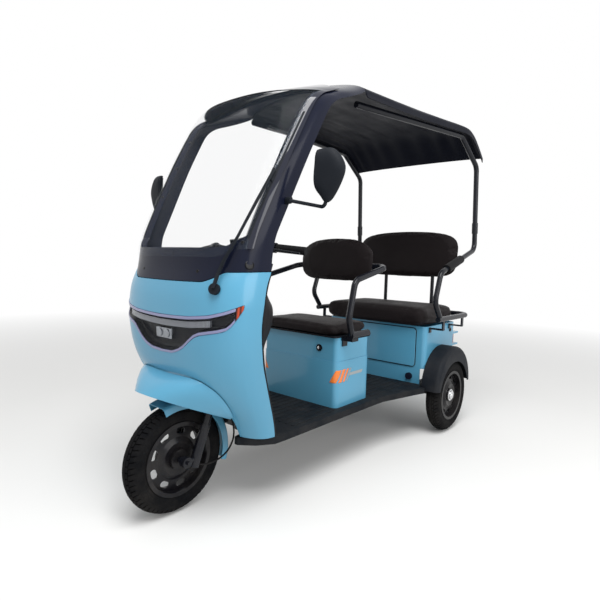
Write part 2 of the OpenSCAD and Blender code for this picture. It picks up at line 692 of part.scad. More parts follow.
// Upper roof tubes, from the sleeves to the windscreen frame
module roof_posts() color(body_black) from_axle() both_sides()
    bent_bar([post_joint + post_way * seat_gap, post_path[4], post_path[5], post_path[6]], tube_r, 55);
// Rear seat's arms with the sleeves, its base loop and the backrest supports
module seat_loop() color(body_black) from_axle() {
    both_sides() {
        bent_bar([for (i = [0:3]) post_path[i], post_joint - post_way * 4], tube_r, 55);
        difference() {
            rod(post_joint - post_way * sleeve_half, post_joint + post_way * sleeve_half, tube_r + 3);
            rod(post_joint, post_joint + post_way * sleeve_half * 2, tube_r + seat_gap);
        }
    }
    bent_bar([
        [222, post_y, loop_z], [loop_x, post_y, loop_z], [loop_x, -post_y, loop_z], [222, -post_y, loop_z]
    ], tube_r, 70);
    both_sides() {
        for (x = [150, -110]) {
            slab(x - 11, x + 11, rear_box_half + seat_gap, rear_box_half + 6, seat_z - 34, seat_z - 6);
            slab(x - 11, x + 11, rear_box_half + 2, post_y + 4, seat_z - 14, seat_z - 6);
            slab(x - 11, x + 11, post_y - 4, post_y + 4, seat_z - 14, loop_z);
        }
        rod([loop_x, 165, loop_z + 4], [loop_x, 165, seat_z + 400], 11);
    }
}
module arm_pads() color([0.03, 0.03, 0.03]) from_axle() both_sides() difference() {
    way = unit(post_path[3] - post_path[2]);
    start = post_path[2] + way * 70;
    rod(start, start + way * 190, tube_r + 9);
    rod(start - way * 10, start + way * 210, tube_r + seat_gap);
}

// Seat box of the driver: open tub with a lower skirt, hinge lugs at the back
module front_seat_box() color(body_blue) from_axle() {
    skirt_h = box_h - 110;
    skirt_t = 3;
    difference() {
        union() {
            translate([0, 0, floor_z]) linear_extrude(box_h) polygon(round_rect(
                front_box_x, front_box_end, -front_box_half, front_box_half, front_corner_r
            ));
            translate([0, 0, floor_z]) linear_extrude(skirt_h)
                polygon(round_rect(
                    front_box_x - skirt_t, front_box_end + skirt_t, -front_box_half - skirt_t,
                    front_box_half + skirt_t, front_corner_r + skirt_t
                ));
            both_sides() {
                for (y = [hinge_y - lug_in - lug_t, hinge_y + lug_in])
                    slab(hinge_x - 5, front_box_x + 2, y, y + lug_t, hinge_z - 60, hinge_z + 5);
                across([hinge_x, hinge_z], hinge_pin_r, hinge_y - lug_in - lug_t, hinge_y + lug_in + lug_t);
            }
        }
        translate([0, 0, floor_z + box_t]) linear_extrude(box_h) polygon(round_rect(
            front_box_x + box_t, front_box_end - box_t, -front_box_half + box_t, front_box_half - box_t,
            front_corner_r - box_t
        ));
        translate([front_box_end - 20, lock_y, lock_z]) rotate([0, 90, 0]) cylinder(r = lock_r, h = 40);
    }
}
module seat_lock() color("silver") from_axle() translate([0, lock_y, lock_z]) rotate([0, 90, 0]) {
    translate([0, 0, front_box_end + seat_gap]) cylinder(r = lock_r + 4, h = 4);
    translate([0, 0, front_box_end - 24]) cylinder(r = lock_r - seat_gap, h = 24 + seat_gap);
}
// Sealed battery pack on the box floor
module battery() color([0.2, 0.2, 0.22]) from_axle()
    slab(front_box_x + 30, front_box_end - 40, -180, 180, floor_z + box_t, floor_z + 205);

// Board under the driver's cushion, with the hinge knuckles
module front_seat_board() color(body_black) from_axle() difference() {
    union() {
        translate([0, 0, seat_z + seat_gap]) linear_extrude(board_t)
            polygon(round_rect(front_box_x + 6, front_box_end + 14, -front_box_half, front_box_half, 20));
        both_sides() {
            across([hinge_x, hinge_z], hinge_r, hinge_y - knuckle_half, hinge_y + knuckle_half);
            slab(hinge_x, front_box_x + 14, hinge_y - knuckle_half, hinge_y + knuckle_half,
                hinge_z - 2, hinge_z + 7);
        }
    }
    both_sides() across([hinge_x, hinge_z], hinge_pin_r + run_gap, hinge_y - lug_in, hinge_y + lug_in);
}
cushion_brown = [0.12, 0.09, 0.08];
front_cushion_mid = front_box_x + 155;
module front_cushion() color(cushion_brown) from_axle()
    translate([front_cushion_mid, 0, seat_z + board_t + 2 * seat_gap + front_cushion_h / 2])
        pillow([136, front_box_half - 1, front_cushion_h / 2], 0.45, 0.22);
module front_backrest() color(cushion_brown) from_axle()
    translate([598, 0, seat_z + 356]) rotate([0, -4, 0]) rotate([0, 90, 0]) pillow([108, 222, 31], 0.55, 0.58);
foot_bar_r = tube_r + 3;
module front_seat_frame() color(body_black) from_axle() {
    bent_bar(arm_tube, tube_r, 48);
    both_sides() {
        slab(802, 850, front_box_half + seat_gap, arm_y + 12, seat_z - 12, seat_z + 4);
        slab(808, 844, front_box_half + seat_gap, front_box_half + 6, seat_z - 40, seat_z - 10);
        rod([850, arm_y, seat_z + foot_bar_r - 2], [708, arm_y, seat_z + foot_bar_r - 2], foot_bar_r);
    }
}

// Rear seat box: open tub behind the panelled front wall
module rear_box() color(body_blue) from_axle() {
    difference() {
        union() {
            translate([0, 0, rear_box_low]) linear_extrude(seat_z - rear_box_low)
                polygon(round_rect(rear_box_back, rear_box_x, -rear_box_half, rear_box_half, rear_corner_r));
            slab(rear_box_x - box_t, rear_box_x, rear_corner_r - rear_box_half,
                rear_box_half - rear_corner_r, floor_z, seat_z - 40);
            both_sides() for (z = [148, 77])
                slab(-rear_overhang, rear_box_back + 10, rear_box_half - lip_l, rear_box_half - 6, seat_z - z,
                    seat_z - z + 10);
        }
        translate([0, 0, rear_box_low + box_t]) linear_extrude(seat_z - rear_box_low) polygon(round_rect(
            rear_box_back + box_t, rear_box_x - box_t, -rear_box_half + box_t, rear_box_half - box_t,
            rear_corner_r - box_t
        ));
    }
}
module rear_box_panel() color(body_blue) from_axle()
    translate([rear_box_x + seat_gap, 0, 0]) rotate([90, 0, 90]) linear_extrude(5)
        polygon(round_rect(-rear_box_half + 58, rear_box_half - 58, floor_z + 96, seat_z - 14, 18));
module charge_port() color(body_black) from_axle()
    translate([rear_box_x + seat_gap, rear_box_half - 88, floor_z + 38])
        rotate([0, 90, 0]) cylinder(r = 19, h = 14);
// The bench cushion's crowned underside settles between the box walls
cushion_settle = 2.9;
module rear_cushion() color(cushion_brown) from_axle()
    translate([40, 0, seat_z - cushion_settle + rear_cushion_h / 2])
        pillow([206, rear_box_half + 4, rear_cushion_h / 2], 0.42, 0.2);
module rear_backrest() color(cushion_brown) from_axle()
    translate([loop_x + 46.6, 0, seat_z + 404]) rotate([0, -5, 0]) rotate([0, 90, 0])
        pillow([142, rear_box_half + 10, 36], 0.5, 0.46);

// Rear mudguards: an arch above each wheel with a deep outer skirt
module rear_fenders() color(body_black) from_axle() both_sides() {
    arch_z = axle_z + 55;
    arch_r = 226;
    inner_y = rear_box_half + seat_gap;
    outer_y = wheel_y + tyre_w / 2 + 10;
    bend = 24;
    profile = concat(
        [[arch_r, inner_y]], arc([arch_r - bend, outer_y - bend], bend, 0, 90, 6), [[130, outer_y]],
        [[130, outer_y - panel_t]], arc([arch_r - bend, outer_y - bend], bend - panel_t, 90, 0, 6),
        [[arch_r - panel_t, inner_y]]
    );
    difference() {
        translate([0, 0, arch_z]) rotate([-90, 0, 0]) rotate_extrude() polygon(profile);
        across([0, axle_z], tyre_r - 9, outer_y - 12, outer_y + 10);
        slab(-300, 300, 300, 500, 0, arch_z + 2);
    }
}
module tail_lamps() color([0.7, 0.05, 0.05]) from_axle() both_sides()
    slab(rear_box_back - 26, rear_box_back - seat_gap, rear_box_half - lip_l + 8, rear_box_half - 14,
        seat_z - 135, seat_z - 80);

// Rear axle tube with the brake plates and the spring pads
axle_tube_r = 24;
half_shaft_r = 15;
brake_plate_r = 76;
pad_top = axle_z + 29;
motor_y = [-95, 20, 83];
module rear_axle() color(body_black) from_axle() difference() {
    union() {
        across([0, axle_z], axle_tube_r, -wheel_y + 52, wheel_y - 52);
        both_sides() across([0, axle_z], brake_plate_r, wheel_y - 54, wheel_y - 47);
        both_sides() slab(-36, 36, spring_y - 26, spring_y + 26, axle_z + 12, pad_top);
    }
    both_sides() across([0, axle_z], half_shaft_r + run_gap, wheel_y - 120, wheel_y);
    slab(-60, 60, motor_y[0] - seat_gap, motor_y[2] + seat_gap, axle_z - 40, axle_z + 40);
}
// Sealed hub drive on the axle's middle
module drive_motor() color([0.35, 0.36, 0.38]) from_axle() {
    across([0, axle_z], 62, motor_y[0], motor_y[1]);
    across([0, axle_z], 46, motor_y[1], motor_y[2]);
    translate([-86, 0, axle_z]) rotate([0, 90, 0]) cylinder(r = 34, h = 40);
}
// Two packs of leaves on the axle's pads
module leaf_springs() color([0.16, 0.16, 0.17]) from_axle() both_sides() {
    leaf_t = 6;
    seat = pad_top + seat_gap;
    for (k = [0:3])
        slab(-spring_half + k * 46, spring_half - k * 46, spring_y - 22, spring_y + 22,
            seat + (3 - k) * leaf_t, seat + (4 - k) * leaf_t);
    across([spring_half, seat + 3 * leaf_t + 4], 13, spring_y - 22, spring_y + 22);
    across([-spring_half, seat + 3 * leaf_t + 4], 13, spring_y - 22, spring_y + 22);
    slab(-spring_half - 14, -spring_half + 14, spring_y - 30, spring_y - 22,
        seat + 3 * leaf_t, rail_high - 30);
}

// Wheels: round-section tyre, well-base rim, slotted disc and hub
module wheel_place(at, out) from_axle() translate(at) rotate([-90 * out, 0, 0]) children();
module tyre() rotate_extrude() difference() {
    union() {
        translate([tyre_r - tyre_w / 2, 0]) circle(r = tyre_w / 2);
        translate([bead_r, -tyre_w / 2 + 8]) square([tyre_r - tyre_w / 2 - bead_r, tyre_w - 16]);
    }
    translate([0, -tyre_w]) square([bead_r + seat_gap, tyre_w * 2]);
}
module rim(middle_r, hub_in, hub_out) {
    lip = tyre_w / 2 - 4;
    seat = lip - 3.7;
    difference() {
        union() {
            rotate_extrude() polygon([
                [bead_r - 6, -lip], [bead_r + 9, -lip], [bead_r + 9, -seat], [bead_r, -seat], [bead_r, seat],
                [bead_r + 9, seat], [bead_r + 9, lip], [bead_r - 6, lip]
            ]);
            rotate_extrude() polygon([
                [middle_r - 4, 12], [62, 20], [80, 10], [bead_r - 5, 4], [bead_r - 5, 9], [80, 16], [62, 26],
                [middle_r - 4, 18]
            ]);
            translate([0, 0, hub_in]) cylinder(r = middle_r, h = hub_out - hub_in);
        }
        for (k = [0:vent_count - 1], a = [-4, 0, 4])
            rotate(360 * (k + 0.5) / vent_count + a) translate([101, 0, -10]) cylinder(r = 12, h = 60);
    }
}
module front_tyre() color([0.05, 0.05, 0.05]) wheel_place([wheelbase, 0, axle_z], 1) tyre();
module rear_left_tyre() color([0.05, 0.05, 0.05]) wheel_place([0, wheel_y, axle_z], 1) tyre();
module rear_right_tyre() color([0.05, 0.05, 0.05]) wheel_place([0, -wheel_y, axle_z], -1) tyre();
axle_pin_r = 7;
hub_r = 36;
drum_r = 64;
module front_rim() color(body_black) wheel_place([wheelbase, 0, axle_z], 1) difference() {
    union() {
        rim(hub_r, -34, 34);
        translate([0, 0, -32]) cylinder(r = drum_r, h = 40);
    }
    translate([0, 0, -50]) cylinder(r = axle_pin_r + run_gap, h = 100);
}
module rear_rim() {
    rim(hub_r, -38, 26);
    translate([0, 0, -110]) cylinder(r = half_shaft_r, h = 80);
    translate([0, 0, -36]) cylinder(r = drum_r, h = 40);
    translate([0, 0, 26]) cylinder(r = 13, h = 9, $fn = 6);
}
module rear_left_rim() color(body_black) wheel_place([0, wheel_y, axle_z], 1) rear_rim();
module rear_right_rim() color(body_black) wheel_place([0, -wheel_y, axle_z], -1) rear_rim();

// Telescopic fork with the crown, the steering stem and the axle
leg_y = 70;
leg_r = 15;
slider_r = 19;
slider_top = 130;
clamp_half = 13;
module fork() color([0.13, 0.13, 0.14]) from_axle() {
    both_sides() {
        leg_foot = steer_foot + [0, leg_y, 0];
        along_axis(leg_foot - steer_up * 30, slider_r, slider_top + 30);
        along_axis(leg_foot + steer_up * (slider_top - 4), leg_r, crown_at - slider_top + 4);
        rod(leg_foot, [wheelbase, leg_y, axle_z], 11);
        across([wheelbase, axle_z], 20, leg_y - 13, leg_y + 13);
        across([wheelbase, axle_z], 12, 36, leg_y - 11);
    }
    across([wheelbase, axle_z], axle_pin_r, -leg_y - 22, leg_y + 22);
    translate(steer_foot + steer_up * (crown_at - 14)) rotate([0, -rake, 0])
        slab(-24, 24, -leg_y - 18, leg_y + 18, 0, 20);
    stay = steer_foot + steer_up * (crown_at - 4);
    hub = [wheelbase, 0, axle_z];
    rod(stay, hub + unit(stay - hub) * (guard_r + 2 * seat_gap), 8);
    stem_l = (bar_z - axle_z) / cos(rake) - crown_at - clamp_half - seat_gap;
    along_axis(steer_foot + steer_up * crown_at, stem_r, stem_l);
}
// Handlebar, its grips, levers and the dial
bar_r = 11;
grip_r = 16;
bar_centre = steer_foot + steer_up * ((bar_z - axle_z) / cos(rake));
grip_root = bar_centre + [14, bar_half - 160, 14];
grip_tip = bar_centre + [-34, bar_half, 0];
bar_path = concat(
    [grip_tip, grip_root, bar_centre + [2, 56, 0]],
    [mirror_y(bar_centre + [2, 56, 0]), mirror_y(grip_root), mirror_y(grip_tip)]
);
module handlebar() color(body_black) from_axle() {
    bent_bar(bar_path, bar_r, 40);
    translate(bar_centre) rotate([0, -rake, 0]) slab(-20, 20, -30, 30, -clamp_half, clamp_half);
}
module grips() color([0.04, 0.04, 0.04]) from_axle() both_sides() difference() {
    way = unit(grip_tip - grip_root);
    rod(grip_tip - way * 118, grip_tip + way * 4, grip_r);
    rod(grip_tip - way * 130, grip_tip + way * seat_gap, bar_r + seat_gap);
}
module brake_levers() color(body_black) from_axle() both_sides() {
    way = unit(grip_tip - grip_root);
    ahead = unit([-way[1], way[0], 0]) * -1;
    difference() {
        rod(grip_tip - way * 150, grip_tip - way * 122, grip_r + 4);
        rod(grip_tip - way * 160, grip_tip - way * 110, bar_r + seat_gap);
    }
    bent_bar([
        grip_tip - way * 136 + ahead * 17, grip_tip - way * 120 + ahead * 46 - [0, 0, 6],
        grip_tip - way * 4 + ahead * 42 - [0, 0, 10]
    ], 5, 18);
}
module instrument() color([0.05, 0.05, 0.055]) from_axle()
    translate(bar_centre + steer_up * (clamp_half + seat_gap)) rotate([0, -rake, 0]) {
        cylinder(r = 12, h = 20);
        translate([0, 0, 20]) rotate([0, 30, 0]) linear_extrude(18) polygon(round_rect(-38, 38, -62, 62, 14));
    }
// Mudguard on the fork, over the front tyre
module front_mudguard() color(body_blue) from_axle() {
    half = 50;
    skirt = 34;
    front = 69;
    reach = 127;
    section = concat(
        [[guard_r - skirt, -half]], arc([guard_r - 12, -half + 12], 12, 270, 360, 4),
        arc([guard_r - 12, half - 12], 12, 0, 90, 4), [[guard_r - skirt, half], [guard_r - skirt, half - 3]],
        arc([guard_r - 12, half - 12], 9, 90, 0, 4), arc([guard_r - 12, -half + 12], 9, 360, 270, 4),
        [[guard_r - skirt, -half + 3]]
    );
    translate([wheelbase, 0, axle_z]) rotate([90, 0, 0]) rotate(front)
        rotate_extrude(angle = reach) polygon(section);
}
module brake_cable() color([0.03, 0.03, 0.03]) from_axle() cord(cable_path, cable_r, 8);

// Mirrors on bent stems from the pillars' rear edges
module mirrors() {
    outline = [
        [-53, 81], [-21, 88], [20, 82], [57, 27], [42, -30], [10, -82], [-13, -88], [-29, -70],
        [-58, -31], [-58, 44]
    ];
    count = len(outline);
    head = [wheelbase - 245, 497, floor_z + 950];
    // Depth and scale of each ring of the head, from the glass to its rounded front
    rings = [[-11, 0.97], [-5, 1], [5, 0.98], [14, 0.88], [20, 0.68], [22, 0.45]];
    function corner(k) = outline[(k + count) % count];
    function rounded(k, t) = through(corner(k - 1), corner(k), corner(k + 1), corner(k + 2), t);
    ring = [for (k = [0:count - 1], t = [0, 0.34, 0.67]) rounded(k, t)];
    foot = raised(front_rows, 0.97, 8.95, seat_gap);
    foot_way = skin_normal(front_rows, 0.97, 8.95);
    elbow = head + [0, -14, -104];
    color(body_black) from_axle() both_sides() {
        translate(head) rotate([0, 0, 10])
            loft([for (s = rings) [for (p = ring) [s[0], p[0] * s[1], p[1] * s[1]]]]);
        bent_bar([foot + foot_way * 10, elbow, head + [0, -8, -70]], 6, 16);
        aim(foot, foot_way) cylinder(r = 12, h = 20);
    }
}

frame();
floor_panel();
front_cowl();
outer_fender();
lamp_panel();
lamp_lenses();
lamp_cover();
indicators();
inner_shield();
dash_top();
windscreen_frame();
windscreen();
wiper();
roof_panel();
roof_posts();
seat_loop();
arm_pads();
front_seat_box();
seat_lock();
battery();
front_seat_board();
front_cushion();
front_backrest();
front_seat_frame();
rear_box();
rear_box_panel();
charge_port();
rear_cushion();
rear_backrest();
rear_fenders();
tail_lamps();
rear_axle();
drive_motor();
leaf_springs();
front_tyre();
rear_left_tyre();
rear_right_tyre();
front_rim();
rear_left_rim();
rear_right_rim();
fork();
handlebar();
grips();
brake_levers();
instrument();
front_mudguard();
brake_cable();
mirrors();
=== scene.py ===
import json
import math
import bmesh
import bpy
from mathutils import Matrix, Vector
from mathutils.bvhtree import BVHTree


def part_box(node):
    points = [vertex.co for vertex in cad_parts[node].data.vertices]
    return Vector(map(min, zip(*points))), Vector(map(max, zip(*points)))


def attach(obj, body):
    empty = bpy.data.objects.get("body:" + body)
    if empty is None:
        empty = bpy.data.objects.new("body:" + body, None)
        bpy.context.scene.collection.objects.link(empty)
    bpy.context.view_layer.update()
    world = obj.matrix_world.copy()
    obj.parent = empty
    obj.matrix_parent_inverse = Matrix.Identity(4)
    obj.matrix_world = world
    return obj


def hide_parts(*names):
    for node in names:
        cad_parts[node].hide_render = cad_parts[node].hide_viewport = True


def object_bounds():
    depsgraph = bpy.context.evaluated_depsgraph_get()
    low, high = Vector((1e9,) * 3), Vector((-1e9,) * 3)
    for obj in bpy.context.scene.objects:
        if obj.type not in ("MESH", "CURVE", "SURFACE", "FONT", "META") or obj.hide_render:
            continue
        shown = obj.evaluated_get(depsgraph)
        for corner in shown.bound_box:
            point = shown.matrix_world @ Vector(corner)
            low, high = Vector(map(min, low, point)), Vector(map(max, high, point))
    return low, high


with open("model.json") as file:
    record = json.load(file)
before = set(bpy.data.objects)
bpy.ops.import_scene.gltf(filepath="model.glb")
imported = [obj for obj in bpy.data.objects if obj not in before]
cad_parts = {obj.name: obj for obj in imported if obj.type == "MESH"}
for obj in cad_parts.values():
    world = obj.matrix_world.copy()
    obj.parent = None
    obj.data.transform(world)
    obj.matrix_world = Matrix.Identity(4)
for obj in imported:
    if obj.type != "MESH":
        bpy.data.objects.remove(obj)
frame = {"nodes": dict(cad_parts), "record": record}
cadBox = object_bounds()
nodes = frame["nodes"]
bodyOf = {n: body for body, members in frame["record"]["behaviour"]["bodies"].items() for n in members}
scene = bpy.context.scene
scene.view_settings.view_transform = "Standard"
print("frame loaded:", len(nodes), "nodes")

# Camera at the photo's place
cameraSet = {
    "place": (1.8161, 1.4453, 0.9512),
    "yaw": -139.52, "pitch": -4.88, "roll": 1.6,  # degrees
    "lens": 28.06,
}


def makeCamera(values):
    data = bpy.data.cameras.new("viewCamera")
    data.sensor_width = 36
    data.lens = values["lens"]
    data.clip_end = 200
    yaw, pitch, roll = (math.radians(values[k]) for k in ("yaw", "pitch", "roll"))
    ahead = Vector((math.cos(yaw) * math.cos(pitch), math.sin(yaw) * math.cos(pitch), math.sin(pitch)))
    side = ahead.cross(Vector((0, 0, 1))).normalized()
    up = side.cross(ahead)
    right = math.cos(roll) * side + math.sin(roll) * up
    top = right.cross(ahead)
    camera = bpy.data.objects.new("viewCamera", data)
    camera.matrix_world = Matrix((
        (right.x, top.x, -ahead.x, values["place"][0]),
        (right.y, top.y, -ahead.y, values["place"][1]),
        (right.z, top.z, -ahead.z, values["place"][2]),
        (0, 0, 0, 1),
    ))
    scene.collection.objects.link(camera)
    scene.camera = camera


makeCamera(cameraSet)


# Node helpers
def put(tree, kind, **values):
    made = tree.nodes.new(kind)
    for name, value in values.items():
        if hasattr(made, name):
            setattr(made, name, value)
        else:
            made.inputs[name.replace("_", " ")].default_value = value
    return made


def link(tree, source, target):
    tree.links.new(source, target)


def newGroup(name, inputs, outputs):
    group = bpy.data.node_groups.new(name, "ShaderNodeTree")
    for label, kind, value in inputs:
        group.interface.new_socket(label, in_out="INPUT", socket_type=kind).default_value = value
    for label, kind in outputs:
        group.interface.new_socket(label, in_out="OUTPUT", socket_type=kind)
    return group, group.nodes.new("NodeGroupInput"), group.nodes.new("NodeGroupOutput")


def ramp(tree, source, low, high, fromLow=0.0, fromHigh=1.0):
    made = put(tree, "ShaderNodeMapRange")
    made.inputs["From Min"].default_value = fromLow
    made.inputs["From Max"].default_value = fromHigh
    made.inputs["To Min"].default_value = low
    made.inputs["To Max"].default_value = high
    link(tree, source, made.inputs["Value"])
    return made.outputs["Result"]


def maths(tree, operation, first, second):
    made = put(tree, "ShaderNodeMath", operation=operation)
    for socket, value in zip(made.inputs, (first, second)):
        if isinstance(value, (int, float)):
            socket.default_value = value
        else:
            link(tree, value, socket)
    return made.outputs[0]


def mixColour(tree, factor, first, second, blend="MIX"):
    made = put(tree, "ShaderNodeMix", data_type="RGBA", blend_type=blend)
    for socket, value in ((made.inputs[0], factor), (made.inputs[6], first), (made.inputs[7], second)):
        if isinstance(value, (int, float, tuple)):
            socket.default_value = value
        else:
            link(tree, value, socket)
    return made.outputs[2]


# Shared effects
def makeMouldGrain():
    group, start, end = newGroup(
        "mouldGrain", [("Scale", "NodeSocketFloat", 900.0)],
        [("Height", "NodeSocketFloat"), ("Variation", "NodeSocketFloat")])
    place = put(group, "ShaderNodeTexCoord")
    pits = put(group, "ShaderNodeTexVoronoi", feature="SMOOTH_F1")
    broad = put(group, "ShaderNodeTexNoise", Scale=7.0, Detail=4.0)
    link(group, place.outputs["Object"], pits.inputs["Vector"])
    link(group, start.outputs["Scale"], pits.inputs["Scale"])
    link(group, place.outputs["Object"], broad.inputs["Vector"])
    link(group, pits.outputs["Distance"], end.inputs["Height"])
    link(group, broad.outputs["Fac"], end.inputs["Variation"])
    return group


def makeDustFilm():
    group, start, end = newGroup(
        "dustFilm",
        [("Color", "NodeSocketColor", (0.5, 0.5, 0.5, 1)), ("Roughness", "NodeSocketFloat", 0.4),
         ("Dust", "NodeSocketFloat", 0.2), ("Dust Color", "NodeSocketColor", (0.42, 0.38, 0.33, 1))],
        [("Color", "NodeSocketColor"), ("Roughness", "NodeSocketFloat"), ("Mask", "NodeSocketFloat")])
    place = put(group, "ShaderNodeTexCoord")
    parts = put(group, "ShaderNodeSeparateXYZ")
    clouds = put(group, "ShaderNodeTexNoise", Scale=9.0, Detail=6.0, Roughness=0.65)
    fine = put(group, "ShaderNodeTexNoise", Scale=240.0, Detail=2.0)
    link(group, place.outputs["Object"], parts.inputs[0])
    link(group, place.outputs["Object"], clouds.inputs["Vector"])
    link(group, place.outputs["Object"], fine.inputs["Vector"])
    low = ramp(group, parts.outputs["Z"], 1.0, 0.12, 0.05, 0.75)
    cloud = ramp(group, clouds.outputs["Fac"], 0.0, 1.0, 0.38, 0.72)
    speck = ramp(group, fine.outputs["Fac"], 0.55, 1.0, 0.35, 0.65)
    mask = maths(group, "MULTIPLY", maths(group, "MULTIPLY", low, cloud), speck)
    mask = maths(group, "MULTIPLY", mask, start.outputs["Dust"])
    dusty = mixColour(group, mask, start.outputs["Color"], start.outputs["Dust Color"])
    link(group, dusty, end.inputs["Color"])
    rough = maths(group, "ADD", start.outputs["Roughness"], maths(group, "MULTIPLY", mask, 0.6))
    link(group, rough, end.inputs["Roughness"])
    link(group, mask, end.inputs["Mask"])
    return group


def makePaintSkin():
    group, start, end = newGroup(
        "paintSkin", [("Color", "NodeSocketColor", (0.2, 0.4, 0.5, 1)), ("Shift", "NodeSocketFloat", 0.05)],
        [("Color", "NodeSocketColor"), ("Height", "NodeSocketFloat")])
    place = put(group, "ShaderNodeTexCoord")
    broad = put(group, "ShaderNodeTexNoise", Scale=2.2, Detail=3.0)
    peel = put(group, "ShaderNodeTexNoise", Scale=160.0, Detail=1.0)
    link(group, place.outputs["Object"], broad.inputs["Vector"])
    link(group, place.outputs["Object"], peel.inputs["Vector"])
    shade = put(group, "ShaderNodeHueSaturation")
    offset = maths(group, "SUBTRACT", broad.outputs["Fac"], 0.5)
    span = maths(group, "MULTIPLY", offset, start.outputs["Shift"])
    link(group, maths(group, "ADD", span, 1.0), shade.inputs["Value"])
    link(group, start.outputs["Color"], shade.inputs["Color"])
    link(group, shade.outputs["Color"], end.inputs["Color"])
    link(group, peel.outputs["Fac"], end.inputs["Height"])
    return group


def makeHideGrain():
    group, start, end = newGroup(
        "hideGrain",
        [("Color", "NodeSocketColor", (0.03, 0.02, 0.02, 1)),
         ("Worn Color", "NodeSocketColor", (0.06, 0.05, 0.045, 1)), ("Scale", "NodeSocketFloat", 420.0)],
        [("Color", "NodeSocketColor"), ("Height", "NodeSocketFloat"), ("Roughness", "NodeSocketFloat")])
    place = put(group, "ShaderNodeTexCoord")
    bend = put(group, "ShaderNodeTexNoise", Scale=60.0, Detail=2.0)
    cells = put(group, "ShaderNodeTexVoronoi", feature="DISTANCE_TO_EDGE")
    clouds = put(group, "ShaderNodeTexNoise", Scale=5.0, Detail=5.0)
    link(group, place.outputs["Object"], bend.inputs["Vector"])
    link(group, place.outputs["Object"], clouds.inputs["Vector"])
    shifted = put(group, "ShaderNodeVectorMath", operation="MULTIPLY_ADD")
    shifted.inputs[1].default_value = (0.002, 0.002, 0.002)
    link(group, bend.outputs["Color"], shifted.inputs[0])
    link(group, place.outputs["Object"], shifted.inputs[2])
    link(group, shifted.outputs[0], cells.inputs["Vector"])
    link(group, start.outputs["Scale"], cells.inputs["Scale"])
    creases = ramp(group, cells.outputs["Distance"], 0.0, 1.0, 0.0, 0.22)
    worn = ramp(group, clouds.outputs["Fac"], 0.0, 0.8, 0.42, 0.75)
    base = mixColour(group, worn, start.outputs["Color"], start.outputs["Worn Color"])
    # Grain creases mixed towards near black: painted shade in the creases of the grain
    paintedShadeColour = mixColour(group, ramp(group, creases, 0.45, 0.0), base, (0.004, 0.003, 0.003, 1))
    link(group, paintedShadeColour, end.inputs["Color"])
    link(group, creases, end.inputs["Height"])
    link(group, ramp(group, clouds.outputs["Fac"], 0.62, 0.46, 0.35, 0.7), end.inputs["Roughness"])
    return group


groups = {
    "grain": makeMouldGrain(), "dust": makeDustFilm(), "paint": makePaintSkin(), "hide": makeHideGrain(),
}
print("effect groups made:", len(groups))


# Materials
def startMaterial(name):
    material = bpy.data.materials.new(name)
    material.use_nodes = True
    tree = material.node_tree
    return material, tree, tree.nodes["Principled BSDF"]


def setShader(shader, **values):
    for name, value in values.items():
        shader.inputs[name.replace("_", " ")].default_value = value


def useGroup(tree, name, **values):
    made = put(tree, "ShaderNodeGroup", node_tree=groups[name])
    for label, value in values.items():
        made.inputs[label.replace("_", " ")].default_value = value
    return made


def bumpFrom(tree, shader, height, strength, distance):
    bump = put(tree, "ShaderNodeBump", Strength=strength, Distance=distance)
    link(tree, height, bump.inputs["Height"])
    link(tree, bump.outputs["Normal"], shader.inputs["Normal"])


def glossPaint(name, colour, roughness, dust, coat, shift=0.06, shine=0.35):
    material, tree, shader = startMaterial(name)
    paint = useGroup(tree, "paint", Color=colour, Shift=shift)
    film = useGroup(tree, "dust", Roughness=roughness, Dust=dust)
    link(tree, paint.outputs["Color"], film.inputs["Color"])
    link(tree, film.outputs["Color"], shader.inputs["Base Color"])
    link(tree, film.outputs["Roughness"], shader.inputs["Roughness"])
    setShader(shader, Coat_Weight=coat, Coat_Roughness=0.06, Specular_IOR_Level=shine)
    bumpFrom(tree, shader, paint.outputs["Height"], 0.06, 0.0004)
    return material


def grainedPlastic(name, colour, roughness, dust, scale, strength=0.25, shine=0.22):
    material, tree, shader = startMaterial(name)
    grain = useGroup(tree, "grain", Scale=scale)
    film = useGroup(tree, "dust", Color=colour, Dust=dust)
    link(tree, ramp(tree, grain.outputs["Variation"], roughness - 0.07, roughness + 0.07, 0.3, 0.7),
         film.inputs["Roughness"])
    link(tree, film.outputs["Color"], shader.inputs["Base Color"])
    link(tree, film.outputs["Roughness"], shader.inputs["Roughness"])
    setShader(shader, Specular_IOR_Level=shine)
    bumpFrom(tree, shader, grain.outputs["Height"], strength, 0.0006)
    return material


def metalFinish(name, colour, roughness, metallic, scale=60.0):
    material, tree, shader = startMaterial(name)
    grain = useGroup(tree, "grain", Scale=scale)
    film = useGroup(tree, "dust", Color=colour, Dust=0.25)
    link(tree, ramp(tree, grain.outputs["Variation"], roughness - 0.06, roughness + 0.1, 0.3, 0.7),
         film.inputs["Roughness"])
    link(tree, film.outputs["Color"], shader.inputs["Base Color"])
    link(tree, film.outputs["Roughness"], shader.inputs["Roughness"])
    setShader(shader, Metallic=metallic)
    bumpFrom(tree, shader, grain.outputs["Height"], 0.08, 0.0005)
    return material


def leatherette(name, colour, worn):
    material, tree, shader = startMaterial(name)
    hide = useGroup(tree, "hide", Color=colour, Worn_Color=worn, Scale=380.0)
    link(tree, hide.outputs["Color"], shader.inputs["Base Color"])
    link(tree, hide.outputs["Roughness"], shader.inputs["Roughness"])
    setShader(shader, Sheen_Weight=0.01, Sheen_Roughness=0.5, Specular_IOR_Level=0.1)
    bumpFrom(tree, shader, hide.outputs["Height"], 0.35, 0.0007)
    return material


